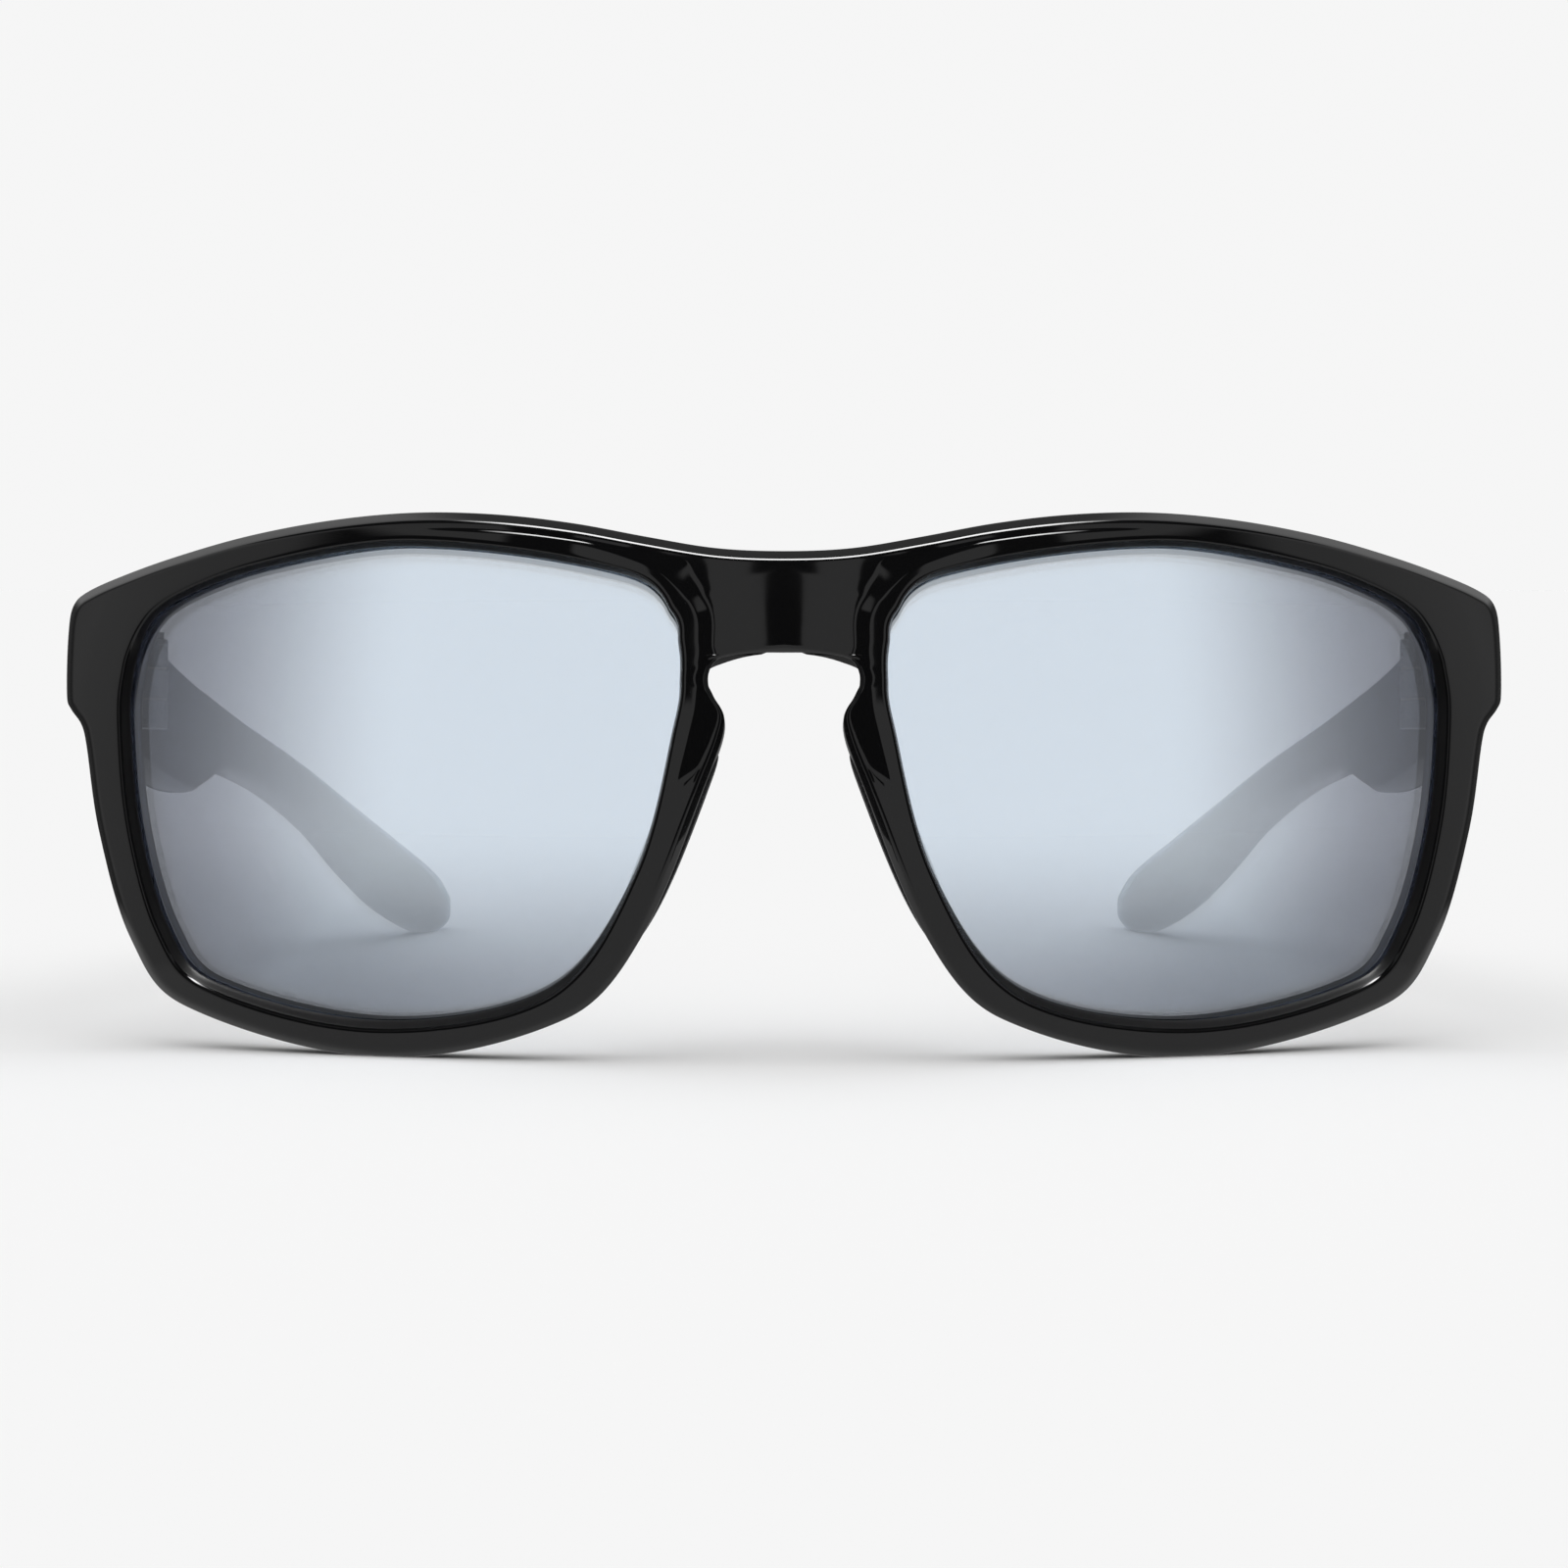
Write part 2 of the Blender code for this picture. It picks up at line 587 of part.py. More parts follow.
def hinge_place():
    return (HINGE_X, BUTT_Y, 0.0)


def knuckle_spans():
    """(low z, high z) of the lower, middle and upper knuckle."""
    high = (BARREL_H - 2 * KNUCKLE_GAP) / 3
    start = HINGE_Z - 0.5 * BARREL_H
    return [(start + i * (high + KNUCKLE_GAP), start + i * (high + KNUCKLE_GAP) + high) for i in range(3)]


def add_front_leaf(word, side, root):
    """The plate on the end piece, with the lower and the upper knuckle."""
    wall = END_INNER_X - TOUCH_GAP
    low, high = knuckle_spans()[0][0], knuckle_spans()[2][1]
    leaf = add_object(
        f"hinge_front_leaf_{word}",
        *box_faces((wall - LEAF_THICK, BUTT_Y - 7.2, low), (wall, BUTT_Y - BARREL_R - 0.25, high)),
        root, HINGE_STEEL, side=side,
    )
    for number in (0, 2):
        z0, z1 = knuckle_spans()[number]
        web = box_faces((wall - LEAF_THICK, BUTT_Y - BARREL_R - 1.0, z0), (wall, BUTT_Y, z1))
        join_hidden(leaf, f"front_web_{word}_{number}", *web, root, side)
        barrel = add_cutter(
            f"front_barrel_{word}_{number}", (HINGE_X, BUTT_Y, z0), BARREL_R, z1 - z0, "Z", root, side
        )
        add_boolean(leaf, barrel, "UNION")
    bore = add_cutter(
        f"front_bore_{word}", (HINGE_X, BUTT_Y, low - 1.0), BORE_R, BARREL_H + 2.0, "Z", root, side
    )
    add_boolean(leaf, bore, "DIFFERENCE")
    front_screws, _ = leaf_screw_places()
    for number, (x, y, z) in enumerate(front_screws, 1):
        hole = add_cutter(f"front_leaf_hole_{word}_{number}", (x - 1.0, y, z), SCREW_HOLE_R, 4.0, "X", root, side)
        add_boolean(leaf, hole, "DIFFERENCE")


def add_temple_leaf(word, side, root, pivot):
    """The plate on the temple, with the middle knuckle."""
    wall = TEMPLE_INNER_X - TOUCH_GAP - 0.35
    z0, z1 = knuckle_spans()[1]
    start = BUTT_Y + BARREL_R + 0.6
    leaf = add_object(
        f"hinge_temple_leaf_{word}",
        *box_faces((wall - LEAF_THICK, start, HINGE_Z - 3.0), (wall, BUTT_Y + 13.5, HINGE_Z + 3.0)),
        pivot, HINGE_STEEL, hinge_place(), side,
    )
    web = box_faces((HINGE_X + 0.6, BUTT_Y + 0.5, z0), (wall, start + 1.0, z1))
    join_hidden(leaf, f"temple_web_{word}", *web, root, side)
    barrel = add_cutter(f"temple_barrel_{word}", (HINGE_X, BUTT_Y, z0), BARREL_R, z1 - z0, "Z", root, side)
    add_boolean(leaf, barrel, "UNION")
    bore = add_cutter(f"temple_bore_{word}", (HINGE_X, BUTT_Y, z0 - 1.0), BORE_R, 5.0, "Z", root, side)
    add_boolean(leaf, bore, "DIFFERENCE")
    _, temple_screws = leaf_screw_places()
    for number, (x, y, z) in enumerate(temple_screws, 1):
        hole = add_cutter(f"temple_leaf_hole_{word}_{number}", (x - 1.5, y, z), SCREW_HOLE_R, 4.5, "X", root, side)
        add_boolean(leaf, hole, "DIFFERENCE")


def add_hinge_screw(word, side, root):
    """The screw that is the hinge's pin, with its head on the upper knuckle."""
    low, high = knuckle_spans()[0][0], knuckle_spans()[2][1]
    head = high + TOUCH_GAP
    steps = [
        ((HINGE_X, BUTT_Y, low + 0.2), PIN_R, head - low - 0.2),
        ((HINGE_X, BUTT_Y, head), 1.35, 0.6),
    ]
    add_rod(f"hinge_screw_{word}", steps, "Z", root, HINGE_STEEL, side=side)


def add_washers(word, side, root):
    for number, below in enumerate(knuckle_spans()[:2], 1):
        start = below[1] + 0.5 * (KNUCKLE_GAP - WASHER_THICK)
        washer = add_rod(
            f"hinge_washer_{word}_{number}",
            [((HINGE_X, BUTT_Y, start), BARREL_R - 0.1, WASHER_THICK)], "Z", root, NYLON, side=side,
        )
        hole = add_cutter(
            f"washer_hole_{word}_{number}", (HINGE_X, BUTT_Y, start - 0.5), BORE_R, 1.2, "Z", root, side
        )
        add_boolean(washer, hole, "DIFFERENCE")


def add_leaf_screws(word, side, root, pivot):
    """Two blind screws into the end piece and two into the temple."""
    front_screws, temple_screws = leaf_screw_places()
    groups = (
        ("front", front_screws, root, (0.0, 0.0, 0.0), 4.6),
        ("temple", temple_screws, pivot, hinge_place(), 3.9),
    )
    for where, places, parent, origin, shank in groups:
        for number, (x, y, z) in enumerate(places, 1):
            x -= 0.35 if where == "temple" else 0.0
            steps = [
                ((x, y, z), SCREW_HEAD_R, SCREW_HEAD_H),
                ((x + SCREW_HEAD_H, y, z), SCREW_R, shank),
            ]
            add_rod(f"{where}_leaf_screw_{word}_{number}", steps, "X", parent, HINGE_STEEL, origin, side)


def clear_scene():
    for obj in list(bpy.data.objects):
        bpy.data.objects.remove(obj)


def add_empty(name, parent=None, location=(0.0, 0.0, 0.0)):
    empty = bpy.data.objects.new(name, None)
    bpy.context.scene.collection.objects.link(empty)
    empty.parent = parent
    empty.location = Vector(location) * MM
    return empty


def main():
    clear_scene()
    root = add_empty("glasses", location=(0.0, -BOX_MID_Y, FLOOR_DROP))
    root.rotation_euler.x = -math.radians(LEAN_DEG)
    add_front(root)
    for side, word in ((1, "left"), (-1, "right")):
        pivot = add_empty(f"temple_pivot_{word}", root, (side * HINGE_X, BUTT_Y, 0.0))
        add_lens(word, side, root)
        add_nose_pad(word, side, root)
        add_front_leaf(word, side, root)
        add_hinge_screw(word, side, root)
        add_washers(word, side, root)
        add_temple(word, side, root, pivot)
        add_temple_leaf(word, side, root, pivot)
        add_leaf_screws(word, side, root, pivot)


main()
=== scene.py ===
"""Glacier glasses: the finished look of front, lenses, pads, temples and hinges, on a pale studio floor."""

import logging
import math
from collections.abc import Callable, Sequence
from dataclasses import dataclass, field
from enum import Enum
from functools import reduce

import bpy
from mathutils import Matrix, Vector


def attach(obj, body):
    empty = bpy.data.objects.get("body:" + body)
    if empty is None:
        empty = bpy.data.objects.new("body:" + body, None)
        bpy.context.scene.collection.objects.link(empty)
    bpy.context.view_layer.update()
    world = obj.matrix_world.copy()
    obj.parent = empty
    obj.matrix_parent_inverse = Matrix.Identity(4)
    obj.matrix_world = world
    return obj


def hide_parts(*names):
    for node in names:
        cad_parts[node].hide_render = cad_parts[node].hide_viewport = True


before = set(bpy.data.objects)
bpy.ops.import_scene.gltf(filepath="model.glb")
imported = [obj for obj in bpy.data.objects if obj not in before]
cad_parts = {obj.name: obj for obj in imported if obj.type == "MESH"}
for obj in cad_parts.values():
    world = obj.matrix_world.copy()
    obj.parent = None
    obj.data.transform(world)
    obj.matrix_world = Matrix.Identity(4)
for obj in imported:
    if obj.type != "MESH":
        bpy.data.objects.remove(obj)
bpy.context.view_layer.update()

MM = 0.001
LOG = logging.getLogger("glasses")

Knots = tuple[tuple[float, ...], ...]
Place = Callable[[int, int], Vector]


class Side(Enum):
    """A side of the wearer, with its sign along X."""

    LEFT = 1
    RIGHT = -1

    @property
    def word(self) -> str:
        """The side's name in lower case."""
        return self.name.lower()


class Body(Enum):
    """The rigid bodies that pieces ride on."""

    FRONT = "front"
    TEMPLE_LEFT = "temple_arm_left"
    TEMPLE_RIGHT = "temple_arm_right"

    @staticmethod
    def temple(side: Side) -> "Body":
        """The temple body of a side."""
        return Body.TEMPLE_LEFT if side is Side.LEFT else Body.TEMPLE_RIGHT


class Slot(Enum):
    """Material slot names for the new pieces; settle takes one but does not use it."""

    FRAME = "frame"
    LENS = "lens"
    PAD = "pad"


# ---------------------------------------------------------------------------------------------------------
# Curves and the curved face
# ---------------------------------------------------------------------------------------------------------


def level(knots: Sequence[tuple[float, float]], station: float) -> float:
    """Straight-line value between knots, held level past both ends.

    Args:
        knots: (station, value) pairs in rising order.
        station: Where to read.

    Returns:
        The value there.
    """
    if station <= knots[0][0]:
        return knots[0][1]
    for (s0, v0), (s1, v1) in zip(knots, knots[1:]):
        if station <= s1:
            return v0 + (v1 - v0) * (station - s0) / (s1 - s0)
    return knots[-1][1]


def ease(share: float) -> float:
    """A smooth step from 0 to 1."""
    share = min(1.0, max(0.0, share))
    return share * share * (3.0 - 2.0 * share)


@dataclass(frozen=True)
class SmoothCurve:
    """A smooth curve through (station, value, ...) knots, by Hermite spans with chord tangents.

    Attributes:
        knots: Rows of station and values, in rising order of station.
        closed: Whether the last knot repeats the first.
        mirrored: Whether it goes on as its own mirror image across x = 0 past both ends.
    """

    knots: Knots
    closed: bool = False
    mirrored: bool = False

    def _knot(self, index: int) -> tuple[float, ...]:
        """The knot at an index.

        Args:
            index: The knot's number, which may lie past either end.

        Returns:
            Its station and values.
        """
        count = len(self.knots)
        if self.closed and index < 0:
            row = self.knots[count - 1 + index]
            return (row[0] - self.knots[-1][0], *row[1:])
        if self.closed and index >= count:
            row = self.knots[index - count + 1]
            return (row[0] + self.knots[-1][0], *row[1:])
        if self.mirrored and not 0 <= index < count:
            end = 0 if index < 0 else count - 1
            station, x, z = self.knots[2 * end - index]
            return (2 * self.knots[end][0] - station, -x, z)
        return self.knots[max(0, min(count - 1, index))]

    def _slope(self, index: int) -> list[float]:
        """The chord slope at a knot.

        Args:
            index: The knot's number.

        Returns:
            The change of each value over one station.
        """
        before, after = self._knot(index - 1), self._knot(index + 1)
        run = after[0] - before[0]
        return [(b - a) / run for a, b in zip(before[1:], after[1:])]

    def at(self, station: float) -> list[float]:
        """The curve's values at a station.

        Args:
            station: Where to read.

        Returns:
            One number for each value of a knot.
        """
        count = len(self.knots)
        span = next((i for i in range(count - 1) if station <= self.knots[i + 1][0]), count - 2)
        k0, k1 = self._knot(span), self._knot(span + 1)
        width = k1[0] - k0[0]
        t = (station - k0[0]) / width
        h00, h10 = 2 * t**3 - 3 * t**2 + 1, t**3 - 2 * t**2 + t
        h01, h11 = -2 * t**3 + 3 * t**2, t**3 - t**2
        m0, m1 = self._slope(span), self._slope(span + 1)
        return [
            h00 * k0[j + 1] + h10 * width * m0[j] + h01 * k1[j + 1] + h11 * width * m1[j]
            for j in range(len(k0) - 1)
        ]


@dataclass(frozen=True)
class Stance:
    """How the upright front's own frame sits in the world: leaned back and set down on its rims.

    Attributes:
        lean_deg: Backward lean of the front.
        floor_drop: Height of the front's z = 0 above the floor, in millimetres.
        box_mid_y: Middle of the object's length, in millimetres.
    """

    lean_deg: float = 5.0
    floor_drop: float = 0.62
    box_mid_y: float = 81.335

    def world(self, point: Vector, side: Side = Side.LEFT) -> Vector:
        """A point of the front's frame, in millimetres, as a world point in metres.

        Args:
            point: The point on the wearer's left.
            side: RIGHT mirrors it.

        Returns:
            The point in the world.
        """
        lean = math.radians(self.lean_deg)
        x, y, z = point.x * side.value, point.y, point.z
        turned_y = y * math.cos(lean) + z * math.sin(lean) - self.box_mid_y
        turned_z = -y * math.sin(lean) + z * math.cos(lean) + self.floor_drop
        return Vector((x, turned_y, turned_z)) * MM


@dataclass(frozen=True)
class CurvedFace:
    """The wrapped front face that the frame and the lenses share, in the front's frame, in millimetres.

    Attributes:
        radius: Radius of the wrap.
        wrap_start: Distance from the mirror plane at which the wrap begins.
        wrap_blend: How softly it begins.
        mid_z: Height of the foremost line.
        wall_flare: Outward lean of the outer walls for each millimetre of depth and of distance.
        flare_z: Height from which that lean is measured.
    """

    radius: float = 87.0
    wrap_start: float = 14.5
    wrap_blend: float = 6.0
    mid_z: float = 26.0
    wall_flare: float = 0.0025
    flare_z: float = 10.0

    def point(self, x: float, z: float, depth: float = 0.0, flare: float = 0.0) -> Vector:
        """A point below the face.

        Args:
            x: Distance from the mirror plane.
            z: Height.
            depth: Distance in along the face's normal.
            flare: The first stretch of the depth that follows the outer wall instead.

        Returns:
            The point.
        """
        beyond = abs(x) - self.wrap_start
        root = math.hypot(beyond, self.wrap_blend)
        reach = 0.5 * (beyond + root)
        reach_slope = 0.5 * (1.0 + beyond / root)
        rise = z - self.mid_z
        fall = math.sqrt(self.radius**2 - reach**2 - rise**2)
        normal = Vector((-math.copysign(reach * reach_slope, x) / fall, 1.0, -rise / fall)).normalized()
        wall = Vector((x * self.wall_flare, 1.0, (z - self.flare_z) * self.wall_flare))
        along_wall = min(depth, flare) if depth > 0.0 else 0.0
        return Vector((x, self.radius - fall, z)) + wall * along_wall + normal * (depth - along_wall)


STANCE = Stance()
FACE = CurvedFace()
# Stations run once round a lens opening, from its upper nose corner over the brow and back up by the nose.
# The outer edge has the same stations up to UNDER_END, and from there to LAP the sections end on the mirror
# plane, along the bridge's seam.
LAP = 48.0
UNDER_END = 44.0
TANGENT_STEP = 0.02
# The lens's depth behind the face, its thickness, and how far its edge reaches into the groove, in
# millimetres: at least from the opening, and beyond the back lip.
LENS_RECESS = 1.30
LENS_THICK = 1.80
LEAST_BITE = 0.8
GROOVE_REACH = 0.5
OPENING = SmoothCurve(
    (
        (0, 11.05, 42.9), (2, 15.4, 46.3), (5, 36.5, 49.4), (7, 51.5, 47.65), (8.5, 59.9, 44.9),
        (10, 63.0, 42.4), (13, 64.5, 37.2), (16, 64.6, 32.3), (19, 63.45, 22.4), (21, 60.7, 13.0),
        (23, 56.3, 7.6), (26, 39.2, 3.65), (29, 22.8, 6.6), (32, 14.5, 17.3), (36, 10.5, 32.2),
        (39, 10.0, 36.3), (44, 10.15, 39.8), (48, 11.05, 42.9),
    ),
    closed=True,
)
OUTLINE = SmoothCurve(
    (
        (0, 0.0, 48.66), (1, 6.5, 48.95), (2, 13.2, 50.08), (3, 20.7, 51.53), (4, 28.4, 52.48),
        (5, 36.2, 52.79), (6, 44.4, 52.29), (7, 52.8, 51.1), (8, 60.3, 49.45), (9, 65.9, 47.95),
        (10, 70.0, 46.6), (11, 71.75, 45.35), (12, 72.25, 43.0), (14, 72.15, 35.9), (15, 71.6, 34.5),
        (16, 70.4, 33.0), (17, 69.75, 31.0), (19, 68.15, 22.0), (21, 64.8, 11.5), (23, 59.2, 4.9),
        (26, 39.0, -0.05), (29, 20.7, 3.8), (31, 13.6, 11.5), (34, 7.3, 26.5), (36, 5.65, 31.9),
        (38, 6.8, 34.7), (39, 7.3, 36.0), (40.5, 6.45, 37.98), (42, 3.7, 38.6), (44, 0.0, 38.7),
    ),
    mirrored=True,
)
# Offsets outwards from the opening: of the front lip, of the seat below it, and of the back lip.
LIP_OUT: Knots = (
    (0, 0.15), (1, 0.3), (2, 0.5), (3, 0.65), (7, 0.65), (9, 0.8), (10, 0.95), (12, 1.35), (16, 1.4),
    (21, 1.35), (23, 1.1), (25, 1.1), (27, 0.95), (29, 0.85), (30, 0.6), (31, 0.35), (32, 0.22),
    (34, 0.18), (48, 0.15),
)
SEAT_OUT: Knots = (
    (0, 0.17), (2, 0.35), (5, 0.4), (7, 0.5), (8, 0.6), (9, 0.74), (10, 0.93), (12, 0.95), (16, 0.89),
    (20, 0.86), (22, 0.72), (23, 0.52), (26, 0.32), (29, 0.15), (31, 0.0), (46, 0.0), (48, 0.17),
)
BACK_OUT: Knots = (
    (0, 0.0), (2, 0.35), (5, 0.5), (7, 0.75), (8, 0.95), (9, 1.25), (10, 1.6), (20, 1.5), (22, 1.25),
    (23, 0.9), (25, 0.65), (27, 0.5), (29, 0.2), (31, 0.0), (48, 0.0),
)


def opening_at(station: float, grow: float = 0.0) -> Vector:
    """A point on a lens opening.

    Args:
        station: Station round the opening.
        grow: Distance by which it is moved outwards.

    Returns:
        The point's x and z.
    """
    x, z = OPENING.at(station % LAP)
    ahead = OPENING.at((station + TANGENT_STEP) % LAP)
    tangent = Vector((ahead[0] - x, ahead[1] - z)).normalized()
    return Vector((x - tangent.y * grow, z + tangent.x * grow))


def lens_bite(station: float) -> float:
    """How far outside the opening the lens's own edge lies."""
    return max(LEAST_BITE, level(BACK_OUT, station % LAP) + GROOVE_REACH)


def outline_at(station: float, inset: float = 0.0) -> Vector:
    """A point on the front's outer edge, whose two ends lie on the mirror plane.

    Args:
        station: Station along the edge.
        inset: Distance by which it is moved inwards.

    Returns:
        The point's x and z.
    """
    x, z = OUTLINE.at(station)
    before = OUTLINE.at(max(0.0, station - TANGENT_STEP))
    ahead = OUTLINE.at(min(UNDER_END, station + TANGENT_STEP))
    tangent = Vector((ahead[0] - before[0], ahead[1] - before[1])).normalized()
    if station <= 0.0 or station >= UNDER_END:
        tangent = Vector((1.0 if station <= 0.0 else -1.0, 0.0))
    return Vector((x + tangent.y * inset, z - tangent.x * inset))


# ---------------------------------------------------------------------------------------------------------
# Modelling helpers
# ---------------------------------------------------------------------------------------------------------


def deselect() -> None:
    """Leaves object mode with nothing selected."""
    if bpy.context.mode != "OBJECT":
        bpy.ops.object.mode_set(mode="OBJECT")
    bpy.ops.object.select_all(action="DESELECT")


def activate(obj: bpy.types.Object) -> None:
    """Makes an object the only selected one and the active one.

    Args:
        obj: The object.
    """
    deselect()
    obj.select_set(True)
    bpy.context.view_layer.objects.active = obj


def named(name: str) -> bpy.types.Object:
    """Names the object that an operator has just added, and its mesh.

    Args:
        name: The name of both.

    Returns:
        The object.
    """
    obj = bpy.context.active_object
    obj.name = name
    obj.data.name = name
    return obj


def edit(obj: bpy.types.Object, *steps: Callable[[], object]) -> None:
    """Runs operators on an object's selection in edit mode.

    Args:
        obj: The mesh object.
        steps: The operator calls, in order.
    """
    activate(obj)
    bpy.ops.object.mode_set(mode="EDIT")
    for step in steps:
        step()
    bpy.ops.object.mode_set(mode="OBJECT")


def edit_all(obj: bpy.types.Object, *steps: Callable[[], object]) -> None:
    """Runs operators on the whole of an object in edit mode."""
    edit(obj, lambda: bpy.ops.mesh.select_all(action="SELECT"), *steps)


def select_faces(obj: bpy.types.Object, test: Callable[[bpy.types.MeshPolygon], bool]) -> int:
    """Selects the faces that pass a test, in object mode.

    Args:
        obj: The mesh object.
        test: Takes a face and says whether it is selected.

    Returns:
        How many were selected.
    """
    edit(
        obj,
        lambda: bpy.ops.mesh.select_mode(type="FACE"),
        lambda: bpy.ops.mesh.select_all(action="DESELECT"),
    )
    for face in obj.data.polygons:
        face.select = test(face)
    return sum(face.select for face in obj.data.polygons)


def apply_modifier(obj: bpy.types.Object, kind: str, **settings: object) -> None:
    """Adds a modifier and applies it.

    Args:
        obj: The mesh object.
        kind: The modifier's type.
        settings: Its settings by name.
    """
    activate(obj)
    modifier = obj.modifiers.new(kind.lower(), kind)
    for key, value in settings.items():
        setattr(modifier, key, value)
    bpy.ops.object.modifier_apply(modifier=modifier.name)


def face_out(obj: bpy.types.Object, merge: float = 1e-6) -> None:
    """Merges doubles and turns every face outwards.

    Args:
        obj: The mesh object.
        merge: The distance below which points are merged.
    """
    edit_all(
        obj,
        lambda: bpy.ops.mesh.remove_doubles(threshold=merge),
        lambda: bpy.ops.mesh.normals_make_consistent(inside=False),
    )


def smooth(obj: bpy.types.Object, angle_deg: float) -> None:
    """Shades obj smooth, but for edges sharper than an angle."""
    activate(obj)
    bpy.ops.object.shade_smooth_by_angle(angle=math.radians(angle_deg))


def ring_piece(name: str, around: int, across: int, place: Place) -> bpy.types.Object:
    """A closed ring of closed sections, shaped from a torus.

    Args:
        name: The piece's name.
        around: Sections round the ring.
        across: Points round each section.
        place: Gives the world point of (section, point).

    Returns:
        The new object.
    """
    deselect()
    bpy.ops.mesh.primitive_torus_add(
        major_segments=around, minor_segments=across, major_radius=1.0, minor_radius=0.25
    )
    obj = named(name)
    for vertex in obj.data.vertices:
        x, y, z = vertex.co
        i = round(math.atan2(y, x) / math.tau * around) % around
        j = round(math.atan2(z, math.hypot(x, y) - 1.0) / math.tau * across) % across
        vertex.co = place(i, j)
    return obj


def bar_piece(name: str, sides: int, rings: int, place: Place) -> bpy.types.Object:
    """A closed bar with a pole at both ends, shaped from a sphere.

    Args:
        name: The piece's name.
        sides: Points round each ring.
        rings: Spans between the two poles.
        place: Gives the world point of (side, ring), ring 0 and ring rings being the poles.

    Returns:
        The new object.
    """
    deselect()
    bpy.ops.mesh.primitive_uv_sphere_add(segments=sides, ring_count=rings, radius=1.0)
    obj = named(name)
    for vertex in obj.data.vertices:
        x, y, z = vertex.co
        j = round(math.acos(max(-1.0, min(1.0, z))) / math.pi * rings)
        i = round(math.atan2(y, x) / math.tau * sides) % sides if 0 < j < rings else 0
        vertex.co = place(i, j)
    return obj


def settle(obj: bpy.types.Object, body: Body, slot: Slot, *nodes: str) -> bpy.types.Object:
    """Rides a piece on its body and lets it stand for its CAD nodes.

    Args:
        obj: The piece.
        body: The rigid body that it moves with.
        slot: Its material slot; not used.
        nodes: The CAD nodes that it replaces.

    Returns:
        The piece.
    """
    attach(obj, body.value)
    if nodes:
        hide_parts(*nodes)
    LOG.info("%s: %d faces", obj.name, len(obj.data.polygons))
    return obj


# ---------------------------------------------------------------------------------------------------------
# Finishes
# ---------------------------------------------------------------------------------------------------------


class Nodes:
    """A small writer of node trees."""

    def __init__(self, tree: bpy.types.NodeTree) -> None:
        """Starts on a tree."""
        self.tree = tree

    def add(self, kind: str, **values: object) -> bpy.types.Node:
        """Adds a node.

        Args:
            kind: The node's type.
            values: Its attributes, or its inputs with _ for a space. A socket given to an input is linked.

        Returns:
            The node.
        """
        node = self.tree.nodes.new(kind)
        for key, value in values.items():
            if hasattr(node, key):
                setattr(node, key, value)
        for key, value in values.items():
            if not hasattr(node, key):
                self.feed(node, key.replace("_", " "), value)
        return node

    def feed(self, node: bpy.types.Node, socket: str | int, value: object) -> None:
        """Sets or links one input of a node.

        Args:
            node: The node.
            socket: The input's name or number.
            value: A value to set, or a socket to link.
        """
        target = node.inputs[socket]
        if isinstance(value, bpy.types.NodeSocket):
            self.tree.links.new(value, target)
        else:
            target.default_value = value

    def maths(self, operation: str, *values: object) -> bpy.types.NodeSocket:
        """Adds a Math node.

        Args:
            operation: The node's operation.
            values: Its inputs, each a number or a socket.

        Returns:
            The result's socket.
        """
        node = self.tree.nodes.new("ShaderNodeMath")
        node.operation = operation
        for index, value in enumerate(values):
            self.feed(node, index, value)
        return node.outputs[0]

    def chain(self, operation: str, *values: object) -> bpy.types.NodeSocket:
        """The result of a Math operation over any number of values, taken from the left."""
        return reduce(lambda so_far, value: self.maths(operation, so_far, value), values)

    def ramp(
        self, value: object, low: float, high: float, out_low: float, out_high: float
    ) -> bpy.types.NodeSocket:
        """Adds a smooth step of a value from one range to another.

        Args:
            value: The number or socket to map.
            low: Where the step starts.
            high: Where it ends.
            out_low: The result at its start.
            out_high: The result at its end.

        Returns:
            The result's socket.
        """
        node = self.tree.nodes.new("ShaderNodeMapRange")
        node.interpolation_type = "SMOOTHSTEP"
        self.feed(node, "Value", value)
        limits = {"From Min": low, "From Max": high, "To Min": out_low, "To Max": out_high}
        for socket, number in limits.items():
            self.feed(node, socket, number)
        return node.outputs[0]

    def blend(self, factor: object, first: object, second: object) -> bpy.types.NodeSocket:
        """Adds a mix of two colours, whose sockets on a Mix node are inputs 6 and 7 and output 2.

        Args:
            factor: 0 for the first colour, 1 for the second.
            first: The first colour.
            second: The second colour.

        Returns:
            The mixed colour's socket.
        """
        node = self.tree.nodes.new("ShaderNodeMix")
        node.data_type = "RGBA"
        self.feed(node, 0, factor)
        self.feed(node, 6, first)
        self.feed(node, 7, second)
        return node.outputs[2]


def bare_material(name: str) -> tuple[bpy.types.Material, Nodes]:
    """A node material with nothing in it.

    Args:
        name: The material's name.

    Returns:
        The material and the writer of its tree.
    """
    material = bpy.data.materials.new(name)
    material.use_nodes = True
    material.node_tree.nodes.clear()
    return material, Nodes(material.node_tree)


def new_material(name: str) -> tuple[bpy.types.Material, Nodes, bpy.types.Node]:
    """A node material with a Principled shader wired to its output.

    Args:
        name: The material's name.

    Returns:
        The material, the writer of its tree, and the shader.
    """
    material, nodes = bare_material(name)
    shader = nodes.add("ShaderNodeBsdfPrincipled")
    nodes.add("ShaderNodeOutputMaterial", Surface=shader.outputs[0])
    return material, nodes, shader


